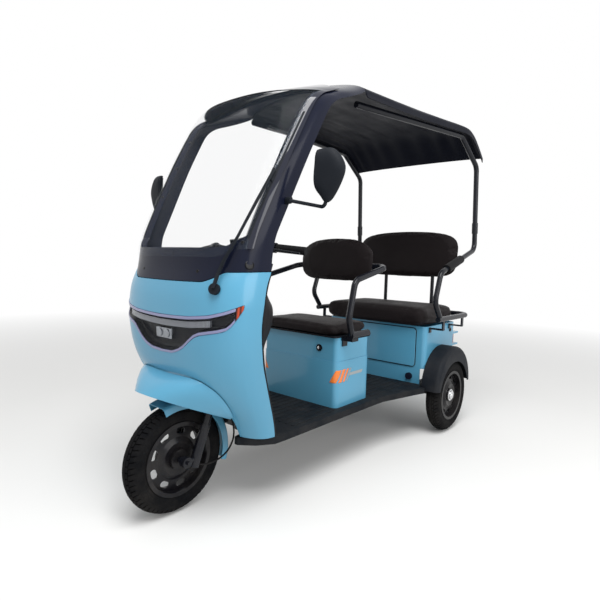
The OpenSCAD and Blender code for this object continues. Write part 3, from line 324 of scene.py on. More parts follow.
def clearGlass(name, tint, roughness, film):
    material, tree, shader = startMaterial(name)
    smear = put(tree, "ShaderNodeTexNoise", Scale=6.0, Detail=3.0)
    smeared = ramp(tree, smear.outputs["Fac"], roughness, roughness + 0.05, 0.4, 0.7)
    link(tree, smeared, shader.inputs["Roughness"])
    setShader(shader, Base_Color=tint, Alpha=film, Specular_IOR_Level=0.5)
    return material


# Clear sheet with the dark printed band that hides its glued edge
def bandedGlass(name, tint, roughness, film, band):
    material = clearGlass(name, tint, roughness, film)
    tree = material.node_tree
    shader = tree.nodes["Principled BSDF"]
    place = put(tree, "ShaderNodeTexCoord")
    parts = put(tree, "ShaderNodeSeparateXYZ")
    link(tree, place.outputs["Object"], parts.inputs[0])
    side = maths(tree, "ABSOLUTE", parts.outputs["Y"], 0.0)
    inner = ramp(tree, parts.outputs["Z"], band["lowHalf"], band["highHalf"], band["low"], band["high"])
    edge = ramp(tree, maths(tree, "SUBTRACT", side, inner), 0.0, 1.0, 0.0, band["fade"])
    top = ramp(tree, parts.outputs["Z"], 0.0, 1.0, band["top"], band["top"] + band["fade"])
    mask = maths(tree, "MAXIMUM", edge, top)
    link(tree, mixColour(tree, mask, tint, band["colour"]), shader.inputs["Base Color"])
    link(tree, ramp(tree, mask, film, 1.0), shader.inputs["Alpha"])
    return material


def lensMaterial(name, colour, shade=0.55, roughness=0.12, scale=95.0):
    material, tree, shader = startMaterial(name)
    place = put(tree, "ShaderNodeTexCoord")
    flutes = put(tree, "ShaderNodeTexWave", Scale=scale, Distortion=0.0, bands_direction="Y")
    link(tree, place.outputs["Object"], flutes.inputs["Vector"])
    # Flute troughs painted as a darker copy of the lens colour, darker as shade falls: painted shade across
    # the flutes
    paintedShadeColour = tuple(c * shade for c in colour[:3]) + (1,)
    link(tree, mixColour(tree, flutes.outputs["Fac"], paintedShadeColour, colour), shader.inputs["Base Color"])
    setShader(shader, Roughness=roughness, Coat_Weight=0.4, Coat_Roughness=0.03, Specular_IOR_Level=0.3)
    bumpFrom(tree, shader, flutes.outputs["Fac"], 0.3, 0.001)
    return material


screenBand = {  # half widths of the clear field at two heights, and its top
    "lowHalf": 0.312, "highHalf": 0.335, "low": 0.93, "high": 1.53, "top": 1.572, "fade": 0.004,
    "colour": (0.006, 0.008, 0.020, 1),
}
finishes = {
    "blueGloss": glossPaint("blueGloss", (0.085, 0.305, 0.465, 1), 0.30, 0.04, 0.3, 0.06, 0.3),
    "darkGloss": glossPaint("darkGloss", (0.006, 0.008, 0.020, 1), 0.20, 0.03, 0.06, 0.06, 0.13),
    "blackGloss": glossPaint("blackGloss", (0.003, 0.003, 0.004, 1), 0.22, 0.03, 0.08, 0.06, 0.16),
    "tubePaint": glossPaint("tubePaint", (0.005, 0.006, 0.010, 1), 0.26, 0.05, 0.10, 0.06, 0.22),
    "rimPaint": glossPaint("rimPaint", (0.004, 0.004, 0.006, 1), 0.32, 0.08, 0.08, 0.06, 0.18),
    "blackMoulding": grainedPlastic("blackMoulding", (0.006, 0.008, 0.012, 1), 0.58, 0.06, 900.0, 0.25, 0.14),
    "floorMoulding": grainedPlastic("floorMoulding", (0.006, 0.008, 0.011, 1), 0.6, 0.07, 700.0, 0.25, 0.08),
    "roofMoulding": grainedPlastic("roofMoulding", (0.004, 0.005, 0.010, 1), 0.44, 0.03, 1100.0, 0.12, 0.09),
    "brownMoulding": grainedPlastic("brownMoulding", (0.007, 0.006, 0.007, 1), 0.5, 0.06, 800.0, 0.25, 0.14),
    "softRubber": grainedPlastic("softRubber", (0.005, 0.005, 0.006, 1), 0.62, 0.06, 1200.0, 0.25, 0.14),
    "tyreRubber": grainedPlastic("tyreRubber", (0.0035, 0.0038, 0.0048, 1), 0.8, 0.05, 500.0, 0.3, 0.06),
    "caseGrey": grainedPlastic("caseGrey", (0.05, 0.05, 0.055, 1), 0.5, 0.15, 700.0),
    "castAlloy": metalFinish("castAlloy", (0.35, 0.36, 0.38, 1), 0.45, 0.9, 400.0),
    "springSteel": metalFinish("springSteel", (0.05, 0.05, 0.055, 1), 0.5, 0.6, 300.0),
    "chromeNut": metalFinish("chromeNut", (0.75, 0.76, 0.78, 1), 0.18, 1.0, 120.0),
    "seatLeather": leatherette("seatLeather", (0.0095, 0.0066, 0.0074, 1), (0.0125, 0.0092, 0.0096, 1)),
    "screenGlass": bandedGlass("screenGlass", (0.10, 0.13, 0.16, 1), 0.02, 0.04, screenBand),
    "lampGlass": clearGlass("lampGlass", (0.10, 0.11, 0.13, 1), 0.02, 0.05),
    "lampBlack": glossPaint("lampBlack", (0.004, 0.004, 0.005, 1), 0.28, 0.0, 0.06, 0.06, 0.10),
    "lampChrome": metalFinish("lampChrome", (0.34, 0.36, 0.39, 1), 0.22, 1.0, 200.0),
    "lampRing": lensMaterial("lampRing", (0.24, 0.25, 0.42, 1), 0.8),
    "lightBar": lensMaterial("lightBar", (0.30, 0.32, 0.36, 1), 0.35, 0.10, 60.0),
    "decalOrange": glossPaint("decalOrange", (0.82, 0.20, 0.025, 1), 0.35, 0.1, 0.3),
    "decalGrey": glossPaint("decalGrey", (0.30, 0.33, 0.34, 1), 0.35, 0.1, 0.3),
    "backShell": grainedPlastic("backShell", (0.006, 0.006, 0.008, 1), 0.36, 0.06, 900.0, 0.15, 0.2),
    "mirrorGlass": metalFinish("mirrorGlass", (0.82, 0.84, 0.86, 1), 0.09, 1.0, 20.0),
    "amberLens": lensMaterial("amberLens", (0.44, 0.046, 0.008, 1), 0.12, 0.14, 45.0),
    "redLens": lensMaterial("redLens", (0.40, 0.008, 0.008, 1)),
}
print("finishes made:", len(finishes))


# Light, floor and background
stageSet = {
    "worldLight": 0.50, "keyPower": 230.0, "fillPower": 75.0,
    "floorColour": (0.80, 0.80, 0.79, 1), "floorReach": 60.0, "fadeToWhite": (2.0, 6.5),
}


def makeWorld(values):
    world = bpy.data.worlds.new("studio")
    scene.world = world
    world.use_nodes = True
    tree = world.node_tree
    tree.nodes.clear()
    path = put(tree, "ShaderNodeLightPath")
    plain = put(tree, "ShaderNodeBackground", Color=(1, 1, 1, 1), Strength=values["worldLight"])
    seen = put(tree, "ShaderNodeBackground", Color=(1, 1, 1, 1), Strength=1.0)
    both = put(tree, "ShaderNodeMixShader")
    out = put(tree, "ShaderNodeOutputWorld")
    direct = maths(tree, "MAXIMUM", path.outputs["Is Camera Ray"], path.outputs["Is Transmission Ray"])
    direct = maths(tree, "MAXIMUM", direct, path.outputs["Is Glossy Ray"])
    link(tree, direct, both.inputs["Fac"])
    link(tree, plain.outputs[0], both.inputs[1])
    link(tree, seen.outputs[0], both.inputs[2])
    link(tree, both.outputs[0], out.inputs["Surface"])


def makeLamp(name, place, target, size, power):
    data = bpy.data.lights.new(name, "AREA")
    data.shape = "RECTANGLE"
    data.size, data.size_y = size
    data.energy = power
    lamp = bpy.data.objects.new(name, data)
    lamp.location = place
    lamp.rotation_euler = (Vector(target) - Vector(place)).to_track_quat("-Z", "Y").to_euler()
    scene.collection.objects.link(lamp)


def makeFloor(values):
    mesh = bpy.data.meshes.new("studioFloor")
    bm = bmesh.new()
    bmesh.ops.create_circle(bm, cap_ends=True, segments=96, radius=values["floorReach"])
    bm.to_mesh(mesh)
    bm.free()
    floor = bpy.data.objects.new("studioFloor", mesh)
    floor.location.z = cadBox[0].z - 0.0005
    scene.collection.objects.link(floor)
    material, tree, shader = startMaterial("paleFloor")
    setShader(shader, Base_Color=values["floorColour"], Roughness=0.9, Specular_IOR_Level=0.1)
    glow = put(tree, "ShaderNodeEmission", Color=(1, 1, 1, 1), Strength=1.0)
    place = put(tree, "ShaderNodeTexCoord")
    reach = put(tree, "ShaderNodeVectorMath", operation="LENGTH")
    link(tree, place.outputs["Object"], reach.inputs[0])
    both = put(tree, "ShaderNodeMixShader")
    link(tree, ramp(tree, reach.outputs["Value"], 0.0, 1.0, *values["fadeToWhite"]), both.inputs["Fac"])
    link(tree, shader.outputs["BSDF"], both.inputs[1])
    link(tree, glow.outputs["Emission"], both.inputs[2])
    link(tree, both.outputs["Shader"], tree.nodes["Material Output"].inputs["Surface"])
    mesh.materials.append(material)


makeWorld(stageSet)
makeLamp("keyLight", (1.7, 1.5, 4.9), (0.2, 0, 0.8), (3.0, 3.0), stageSet["keyPower"])
makeLamp("sideLight", (0.2, 4.4, 2.2), (0, 0, 0.7), (3.0, 2.4), stageSet["fillPower"])
makeFloor(stageSet)
print("studio made")


# The screen's pillars: slimmer and set wider towards the roof than the solids have them
screenEase = {
    "nodes": ("windscreen_frame", "windscreen", "wiper", "roof_panel", "mirrors"),
    "rows": [  # height, rear edge, its way ahead, widening of each side
        (0.906, 0.668, 0.0, 0.0), (1.02, 0.615, 0.045, 0.014), (1.16, 0.533, 0.060, 0.027),
        (1.345, 0.423, 0.080, 0.044), (1.53, 0.300, 0.100, 0.056), (1.602, 0.207, 0.055, 0.050),
        (1.65, 0.142, 0.0, 0.036),
    ],
    "depth": 0.25, "half": 0.31, "glassLift": (0.0028, 0.0, 0.0014),
    "frameEnd": (0.12, 0.25), "roofFade": (-0.35, 0.15), "armFade": (0.46, 0.36),
}


def share(value, zero, one):
    return min(max((value - zero) / (one - zero), 0.0), 1.0)


def rowAt(rows, height):
    height = min(max(height, rows[0][0]), rows[-1][0])
    for low, high in zip(rows, rows[1:]):
        if height <= high[0]:
            t = (height - low[0]) / (high[0] - low[0])
            return [a + (b - a) * t for a, b in zip(low, high)]


def eased(point):
    _, rear, ahead, wider = rowAt(screenEase["rows"], point.z)
    arm = share(abs(point.y), *screenEase["armFade"])
    ahead *= share(point.x, rear + screenEase["depth"], rear) * share(point.x, *screenEase["frameEnd"]) * arm
    wider *= share(point.x, *screenEase["roofFade"]) * arm
    return Vector((point.x + ahead, point.y * (1 + wider / screenEase["half"]), point.z))


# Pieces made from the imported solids
def joinTriangles(bm, flatAngle):
    bmesh.ops.join_triangles(
        bm, faces=bm.faces, angle_face_threshold=flatAngle,
        angle_shape_threshold=math.radians(70), cmp_sharp=False)


def addPiece(name, mesh, body, material, covers=()):
    piece = bpy.data.objects.new(name, mesh)
    scene.collection.objects.link(piece)
    mesh.materials.clear()
    mesh.materials.append(finishes[material])
    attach(piece, body)
    if covers:
        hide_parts(*covers)
    return piece


def smoothShade(mesh, degrees):
    mesh.polygons.foreach_set("use_smooth", [True] * len(mesh.polygons))
    mesh.set_sharp_from_angle(angle=math.radians(degrees))


def weldedCopy(node, ease=True):
    bm = bmesh.new()
    bm.from_mesh(nodes[node].data)
    bmesh.ops.remove_doubles(bm, verts=bm.verts, dist=2e-5)
    bmesh.ops.recalc_face_normals(bm, faces=bm.faces)
    if ease and node in screenEase["nodes"]:
        for vert in bm.verts:
            vert.co = eased(vert.co)
    if node == "windscreen":  # in front of the rounded-off frame
        bmesh.ops.translate(bm, verts=bm.verts, vec=screenEase["glassLift"])
    return bm


def dressPanel(node, material, levels=2, creaseAngle=42, name=None):
    bm = weldedCopy(node)
    joinTriangles(bm, math.radians(25))
    crease = bm.edges.layers.float.new("crease_edge")
    for edge in bm.edges:
        if len(edge.link_faces) == 2 and edge.calc_face_angle(0) > math.radians(creaseAngle):
            edge[crease] = 0.9
    mesh = bpy.data.meshes.new(name or node)
    bm.to_mesh(mesh)
    bm.free()
    smoothShade(mesh, 50)
    piece = addPiece(name or (node + "Skin"), mesh, bodyOf[node], material, [node])
    soft = piece.modifiers.new("roundOff", "SUBSURF")
    soft.levels = soft.render_levels = levels
    return piece


def dressBlock(node, material, width=0.003, angle=35, name=None):
    bm = weldedCopy(node)
    bmesh.ops.dissolve_limit(bm, angle_limit=math.radians(0.4), verts=bm.verts, edges=bm.edges)
    mesh = bpy.data.meshes.new(name or node)
    bm.to_mesh(mesh)
    bm.free()
    smoothShade(mesh, 30)
    piece = addPiece(name or (node + "Skin"), mesh, bodyOf[node], material, [node])
    edge = piece.modifiers.new("easedEdge", "BEVEL")
    edge.width = width
    edge.segments = 3
    edge.limit_method = "ANGLE"
    edge.angle_limit = math.radians(angle)
    edge.harden_normals = True
    return piece


panelFinish = {
    "front_cowl": "blueGloss", "outer_fender": "blueGloss", "windscreen_frame": "darkGloss",
    "roof_panel": "roofMoulding", "inner_shield": "brownMoulding", "lamp_panel": "lampBlack",
    "lamp_cover": "lampGlass", "indicators": "amberLens", "windscreen": "screenGlass",
    "mirrors": "blackMoulding",
}
for nodeName, finishName in panelFinish.items():
    dressPanel(nodeName, finishName, 1 if nodeName in ("roof_panel", "mirrors") else 2)
blockFinish = {
    "floor_panel": ("floorMoulding", 0.0015), "front_seat_box": ("blueGloss", 0.003),
    "rear_box": ("blueGloss", 0.004),
    "rear_box_panel": ("blueGloss", 0.003), "rear_fenders": ("blackMoulding", 0.0015),
    "front_mudguard": ("blueGloss", 0.001), "tail_lamps": ("redLens", 0.004), "battery": ("caseGrey", 0.006),
    "front_seat_board": ("blackMoulding", 0.002), "instrument": ("blackGloss", 0.004),
    "dash_top": ("blackMoulding", 0.001),
    "wiper": ("blackMoulding", 0.0008),
}
for nodeName, (finishName, edgeWidth) in blockFinish.items():
    dressBlock(nodeName, finishName, edgeWidth)
plainFinish = {
    "frame": "tubePaint", "roof_posts": "tubePaint", "seat_loop": "tubePaint", "arm_pads": "softRubber",
    "seat_lock": "blackGloss", "front_seat_frame": "tubePaint", "charge_port": "darkGloss",
    "rear_axle": "tubePaint", "drive_motor": "castAlloy", "leaf_springs": "springSteel",
    "front_rim": "rimPaint", "rear_left_rim": "rimPaint", "rear_right_rim": "rimPaint",
    "fork": "tubePaint", "handlebar": "tubePaint",
    "grips": "softRubber", "brake_levers": "tubePaint",
}
for nodeName, finishName in plainFinish.items():
    nodes[nodeName].data.materials.clear()
    nodes[nodeName].data.materials.append(finishes[finishName])
print("solids dressed")


# Mesh helpers for the added pieces
def pieceFrom(bm, name, body, material, covers=(), angle=35):
    mesh = bpy.data.meshes.new(name)
    bmesh.ops.recalc_face_normals(bm, faces=bm.faces)
    bm.to_mesh(mesh)
    bm.free()
    smoothShade(mesh, angle)
    return addPiece(name, mesh, body, material, covers)


def frameAt(point, normal):
    z = normal.normalized()
    x = z.cross(Vector((0, 0, 1)) if abs(z.z) < 0.9 else Vector((1, 0, 0))).normalized()
    y = z.cross(x)
    return Matrix((
        (x.x, y.x, z.x, point.x), (x.y, y.y, z.y, point.y), (x.z, y.z, z.z, point.z), (0, 0, 0, 1)))


def lathe(bm, profile, place, segments=28):
    rings = []
    for r, z in profile:
        count = 1 if r == 0 else segments
        turns = [k * math.tau / count for k in range(count)]
        rings.append([bm.verts.new(place @ Vector((r * math.cos(a), r * math.sin(a), z))) for a in turns])
    for low, high in zip(rings, rings[1:]):
        for k in range(segments):
            n = (k + 1) % segments
            if len(low) == 1 or len(high) == 1:
                tip, ring = (low[0], high) if len(low) == 1 else (high[0], low)
                bm.faces.new((tip, ring[k], ring[n]))
            else:
                bm.faces.new((low[k], low[n], high[n], high[k]))


def tube(bm, points, radius, sides=10):
    rings = []
    side = None
    for i, point in enumerate(points):
        way = (points[min(i + 1, len(points) - 1)] - points[max(i - 1, 0)]).normalized()
        side = (side - way * side.dot(way)) if side else way.orthogonal()
        side.normalize()
        up = way.cross(side)
        rings.append([
            bm.verts.new(point + radius * (math.cos(a) * side + math.sin(a) * up))
            for a in (k * math.tau / sides for k in range(sides))
        ])
    for low, high in zip(rings, rings[1:]):
        for k in range(sides):
            bm.faces.new((low[k], low[(k + 1) % sides], high[(k + 1) % sides], high[k]))
    bm.faces.new(rings[0][::-1])
    bm.faces.new(rings[-1])


def smoothRun(points, steps):
    run = []
    last = len(points) - 1
    for i in range(last):
        a, b, c, d = (Vector(points[min(max(k, 0), last)]) for k in (i - 1, i, i + 1, i + 2))
        for k in range(steps):
            t = k / steps
            square = (2 * a - 5 * b + 4 * c - d) * t * t
            cube = (3 * b - a - 3 * c + d) * t ** 3
            run.append(0.5 * (2 * b + (c - a) * t + square + cube))
    return run + [Vector(points[-1])]


panelTrees = {}


def landOn(node, start, way):
    if node not in panelTrees:
        bm = weldedCopy(node)
        panelTrees[node] = BVHTree.FromBMesh(bm)
        bm.free()
    point, normal, _, _ = panelTrees[node].ray_cast(Vector(start), Vector(way))
    return point, normal


# Brake cable from the fork crown to the drum, a stiff sheathed cable held at both ends
cableSet = {
    "diameter": 0.007,
    "points": [
        (0.663, 0.062, 0.438), (0.644, 0.070, 0.408), (0.624, 0.080, 0.350), (0.606, 0.084, 0.290),
        (0.608, 0.086, 0.240), (0.634, 0.086, 0.200), (0.676, 0.084, 0.178), (0.724, 0.080, 0.172),
        (0.764, 0.076, 0.180),
    ],
}


def makeCable(values):
    run = smoothRun(values["points"], 4)
    data = bpy.data.curves.new("brakeCableRun", "CURVE")
    data.dimensions = "3D"
    data.bevel_depth = values["diameter"] / 2
    data.bevel_resolution = 4
    data.use_fill_caps = True
    spline = data.splines.new("POLY")
    spline.points.add(len(run) - 1)
    for point, place in zip(spline.points, run):
        point.co = (*place, 1)
    piece = bpy.data.objects.new("brakeCableRun", data)
    scene.collection.objects.link(piece)
    data.materials.append(finishes["softRubber"])
    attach(piece, "steering")
    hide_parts("brake_cable")
    length = sum((b - a).length for a, b in zip(run, run[1:]))
    return length


print("brake cable made, metres: %.3f" % makeCable(cableSet))


# Treaded tyres: a rib, two rows of staggered blocks each side and a plain side wall
tyreSet = {
    "sectionRadius": 0.165, "section": 0.040, "bead": 0.1303, "beadHalf": 0.032,
    "pitches": 58, "groove": 0.0055,
    "slant": 0.55, "slantEnd": 53, "wallStart": 60,  # share of a pitch, then degrees
}
tyreRows = [  # degrees round the section, kind of row
    (0, "rib"), (5.5, "rib"), (8.5, "rib"), (9.3, "groove"), (11.6, "groove"), (12.4, "inner"), (19, "inner"),
    (25.5, "inner"), (26.3, "groove"), (28.6, "groove"), (29.4, "outer"), (37, "outer"), (45, "outer"),
    (53, "outer"), (54.5, "runOut"), (60, "runOut"), (66, "wall"), (72, "wall"), (73, "ring"), (77, "ring"),
    (78, "wall"), (86, "wall"),
    (95, "wall"), (106, "wall"), (107, "ring"), (110, "ring"), (111, "wall"), (119, "wall"), (127, "wall"),
]
tyreStops = [0.0, 0.045, 0.20, 0.245, 0.5, 0.545, 0.70, 0.745]  # shares of one pitch


def tyreDepth(kind, stop, groove):
    if kind == "groove":
        return groove
    if kind == "inner" and stop in (1, 2):
        return groove * 0.85
    if kind == "outer" and stop in (5, 6):
        return groove
    if kind == "runOut" and stop in (5, 6):
        return groove * 0.4
    return -0.0006 if kind == "ring" else 0.0


def makeTyre(name, node, place, values):
    bm = bmesh.new()
    rows = [(-a, kind) for a, kind in tyreRows[:0:-1]] + tyreRows
    pitch = math.tau / values["pitches"]
    columns = [(p, stop) for p in range(values["pitches"]) for stop in range(len(tyreStops))]
    grid = []
    for degrees, kind in rows:
        angle = math.radians(degrees)
        slant = values["slant"] * pitch
        if abs(degrees) < values["wallStart"]:
            slant = slant * abs(degrees) / values["slantEnd"]
        ring = []
        for p, stop in columns:
            size = values["section"] - tyreDepth(kind, stop, values["groove"])
            r = values["sectionRadius"] + size * math.cos(angle)
            turn = (p + tyreStops[stop]) * pitch + slant
            across = place[1] + size * math.sin(angle)
            ring.append(bm.verts.new((place[0] + r * math.cos(turn), across, place[2] + r * math.sin(turn))))
        grid.append(ring)
    for side in (-1, 1):  # bead ring against the rim
        ring = []
        for p, stop in columns:
            turn = (p + tyreStops[stop]) * pitch + values["slant"] * pitch
            ring.append(bm.verts.new((
                place[0] + values["bead"] * math.cos(turn), place[1] + side * values["beadHalf"],
                place[2] + values["bead"] * math.sin(turn))))
        grid.insert(0, ring) if side < 0 else grid.append(ring)
    grid.append(grid[0])
    count = len(columns)
    for low, high in zip(grid, grid[1:]):
        for k in range(count):
            bm.faces.new((low[k], low[(k + 1) % count], high[(k + 1) % count], high[k]))
    return pieceFrom(bm, name, bodyOf[node], "tyreRubber", [node], 28)


wheelPlaces = {
    "front": (0.821, 0.0, 0.205), "rear_left": (-0.754, 0.378, 0.205), "rear_right": (-0.754, -0.378, 0.205),
}
for wheel, place in wheelPlaces.items():
    makeTyre("tread_" + wheel, wheel + "_tyre", place, tyreSet)
print("tyres treaded:", len(wheelPlaces))

# Bright hub caps on the rear wheels: stepped cap, washer and nut
hubSet = {
    "face": 0.0262,
    "cap": [
        (0.0, 0.0), (0.033, 0.0), (0.033, 0.003), (0.031, 0.0045), (0.026, 0.0048), (0.025, 0.0095),
        (0.022, 0.0115), (0.0, 0.0118),
    ],
    "nut": [(0.0125, 0.0095), (0.0125, 0.0125), (0.0115, 0.0137), (0.0, 0.0137)],
}
for wheel, side in (("rear_left", 1), ("rear_right", -1)):
    cap = bmesh.new()
    hub = Vector(wheelPlaces[wheel])
    hub.y += side * hubSet["face"]
    lathe(cap, hubSet["cap"], frameAt(hub, Vector((0, side, 0))), 40)
    lathe(cap, hubSet["nut"], frameAt(hub, Vector((0, side, 0))), 6)
    pieceFrom(cap, "hubCap_" + wheel, wheel + "_wheel", "chromeNut")
print("hub caps made")


# Headlamp: light ring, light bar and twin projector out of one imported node
lampReach = [(0.08, "projector"), (0.28, "lightBar"), (1.0, "lampRing")]  # half width, kind


def splitLamp():
    bm = weldedCopy("lamp_lenses")
    bm.verts.index_update()
    islands = []
    left = set(bm.verts)
    while left:
        stack = [left.pop()]
        island = set(stack)
        while stack:
            for edge in stack.pop().link_edges:
                for vert in edge.verts:
                    if vert in left:
                        left.discard(vert)
                        island.add(vert)
                        stack.append(vert)
        islands.append(island)
    kinds = {}
    for island in islands:
        half = max(v.co.y for v in island)
        kind = next(kind for reach, kind in lampReach if half < reach)
        kinds.setdefault(kind, set()).update(island)
    for _, kind in lampReach:  # a fixed order, so that each run gives the same table
        keep = {v.index for v in kinds[kind]}
        part = bm.copy()
        part.verts.index_update()
        bmesh.ops.delete(part, geom=[v for v in part.verts if v.index not in keep], context="VERTS")
        if kind != "projector":
            joinTriangles(part, math.radians(25))
        finish = "lampChrome" if kind == "projector" else kind
        piece = pieceFrom(part, kind, "chassis", finish, ["lamp_lenses"])
        edge = piece.modifiers.new("easedEdge", "BEVEL")
        edge.width = 0.0012
        edge.segments = 2
        edge.limit_method = "ANGLE"
        edge.angle_limit = math.radians(40)
    bm.free()


splitLamp()
print("headlamp split")

# Screws of the windscreen frame and the plugs at the pillars' feet
screenSet = {
    "screws": [  # side, height and width on the frame
        (0.165, 0.905), (-0.165, 0.905), (0.302, 1.004), (-0.302, 1.004), (0.308, 1.20), (-0.308, 1.20),
        (0.307, 1.453), (-0.307, 1.453), (0.306, 1.33), (-0.306, 1.33),
    ],
    "screwHead": [
        (0.0, -0.001), (0.006, -0.001), (0.0062, 0.0008), (0.005, 0.0022), (0.0022, 0.0026), (0.0018, 0.0014),
        (0.0, 0.0013),
    ],
    "plugs": [(0.325, 0.930), (-0.325, 0.930)],
    "plug": [
        (0.0, -0.002), (0.0155, -0.002), (0.0155, 0.0012), (0.0135, 0.0022), (0.0125, 0.0006), (0.0, -0.0004),
    ],
    "plugInset": 0.985,
}


def makeScrews(values):
    screws = bmesh.new()
    plugs = bmesh.new()
    for y, z in values["screws"]:
        point, normal = landOn("windscreen_frame", (2.0, y, z), (-1, 0, 0))
        if point:
            lathe(screws, values["screwHead"], frameAt(point, normal), 16)
    for y, z in values["plugs"]:
        point, normal = landOn("windscreen_frame", (2.0, y * values["plugInset"], z), (-1, 0, 0))
        if point:
            lathe(plugs, values["plug"], frameAt(point, normal), 32)
    pieceFrom(screws, "frameScrews", "chassis", "blackGloss")
    pieceFrom(plugs, "pillarPlugs", "chassis", "blackGloss")


makeScrews(screenSet)
print("screws and plugs set")

# Rubber edge along the rear edges of the leg shield. Columns: place, half width, height
edgeSet = {
    "radius": 0.0042, "tuck": (0.002, 0.003),  # back and in
    "run": [
        (0.560, 0.268, 0.284), (0.587, 0.284, 0.358), (0.657, 0.313, 0.512), (0.694, 0.331, 0.606),
        (0.714, 0.343, 0.720), (0.698, 0.342, 0.840), (0.670, 0.334, 0.902),
    ],
}
shieldEdge = bmesh.new()
for side in (1, -1):
    run = smoothRun(
        [(x - edgeSet["tuck"][0], side * (y - edgeSet["tuck"][1]), z) for x, y, z in edgeSet["run"]], 8)
    tube(shieldEdge, run, edgeSet["radius"], 8)
pieceFrom(shieldEdge, "shieldEdge", "chassis", "softRubber")

# Slanted bars on the sides of the driver's seat box, wrapped round the front corners
barSet = {
    "front": 0.127, "half": 0.232, "corner": 0.027, "raise": 0.0005, "lean": 0.55, "rows": 14,
    "step": 0.004, "film": 0.0004,
    "bars": [  # start behind the corner, length, low, high, finish
        (-0.012, 0.034, 0.398, 0.456, "decalOrange"), (0.032, 0.024, 0.398, 0.456, "decalOrange"),
        (0.066, 0.016, 0.398, 0.456, "decalOrange"), (0.092, 0.010, 0.398, 0.456, "decalGrey"),
        (0.112, 0.110, 0.420, 0.434, "decalGrey"),
    ],
}


def boxOutline(s, values):
    corner = values["corner"]
    bend = corner * math.pi / 2
    middle = Vector((values["front"] - corner, values["half"] - corner, 0))
    if s < 0:  # front face
        return Vector((values["front"] + values["raise"], middle.y + s, 0))
    if s < bend:
        reach = corner + values["raise"]
        return middle + Vector((reach * math.cos(s / corner), reach * math.sin(s / corner), 0))
    return Vector((middle.x - (s - bend), values["half"] + values["raise"], 0))


def makeBars(values):
    meshes = {}
    for start, length, low, high, finish in values["bars"]:
        bm = meshes.setdefault(finish, bmesh.new())
        steps = max(2, int(length / values["step"]))
        for side in (1, -1):
            rows = []
            for z in (low + (high - low) * k / values["rows"] for k in range(values["rows"] + 1)):
                shift = (z - low) * values["lean"]
                places = [boxOutline(start + shift + length * k / steps, values) for k in range(steps + 1)]
                rows.append([bm.verts.new((p.x, p.y * side, z)) for p in places])
            for lower, upper in zip(rows, rows[1:]):
                for k in range(steps):
                    bm.faces.new((lower[k], lower[k + 1], upper[k + 1], upper[k]))
    for finish, bm in meshes.items():
        piece = pieceFrom(bm, finish + "Bars", "chassis", finish)
        body = piece.modifiers.new("filmThickness", "SOLIDIFY")
        body.thickness = values["film"]
        body.offset = 0


makeBars(barSet)
print("edge trim and bars made")


# Key core in the seat lock and the dark rubber strip round the bench box's panel, painted shade of the
# panel's gap
coreGapShadeBoltSet = {
    "core": [(0.0, 0.0), (0.0072, 0.0), (0.0072, 0.0016), (0.0060, 0.0022), (0.0, 0.0022)],
    "width": 0.004, "depth": 0.0035, "corner": 0.018,
    "boltPlace": (-0.885, 0.562),  # along and height
    "bolt": [
        (0.0, -0.002), (0.013, -0.002), (0.013, 0.0015), (0.010, 0.0042), (0.0045, 0.0050), (0.004, 0.0036),
        (0.0, 0.0034),
    ],
}


def makeLockCore(values):
    low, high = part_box("seat_lock")
    middle = Vector((high.x, (low.y + high.y) / 2, (low.z + high.z) / 2))
    core = bmesh.new()
    lathe(core, values["core"], frameAt(middle, Vector((1, 0, 0))), 24)
    pieceFrom(core, "lockCore", "chassis", "chromeNut")


def makePanelGapShade(values):
    # A dark rubber strip round the panel: painted shade of the gap between panel and box
    low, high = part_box("rear_box_panel")
    rows = []
    bm = bmesh.new()
    corner, width, deep = values["corner"], values["width"], values["depth"]
    for grow, depth in ((0.0, 0.0), (0.0, deep), (width, deep), (width, 0.0)):
        ring = []
        for cy, cz, start in ((1, 1, 0), (-1, 1, 90), (-1, -1, 180), (1, -1, 270)):
            for step in range(7):
                a = math.radians(start + 15 * step)
                r = corner + grow
                y = (high.y if cy > 0 else low.y) - cy * corner + r * math.cos(a)
                z = (high.z if cz > 0 else low.z) - cz * corner + r * math.sin(a)
                ring.append(bm.verts.new((low.x + depth, y, z)))
        rows.append(ring)
    rows.append(rows[0])
    for inner, outer in zip(rows, rows[1:]):
        for k in range(len(inner)):
            n = (k + 1) % len(inner)
            bm.faces.new((inner[k], inner[n], outer[n], outer[k]))
    pieceFrom(bm, "panelGapShade", "chassis", "softRubber")


def makeBoxBolts(values):
    bolts = bmesh.new()
    for side in (1, -1):
        point, _ = landOn("rear_box", (values["boltPlace"][0], side, values["boltPlace"][1]), (0, -side, 0))
        lathe(bolts, values["bolt"], frameAt(point, Vector((0, side, 0))), 24)
    pieceFrom(bolts, "boxBolts", "chassis", "blackGloss")


makeLockCore(coreGapShadeBoltSet)
# the dark strip round the panel is painted shade of its gap
makePanelGapShade(coreGapShadeBoltSet)
makeBoxBolts(coreGapShadeBoltSet)
print("lock core, panel gap shade and box bolts made")


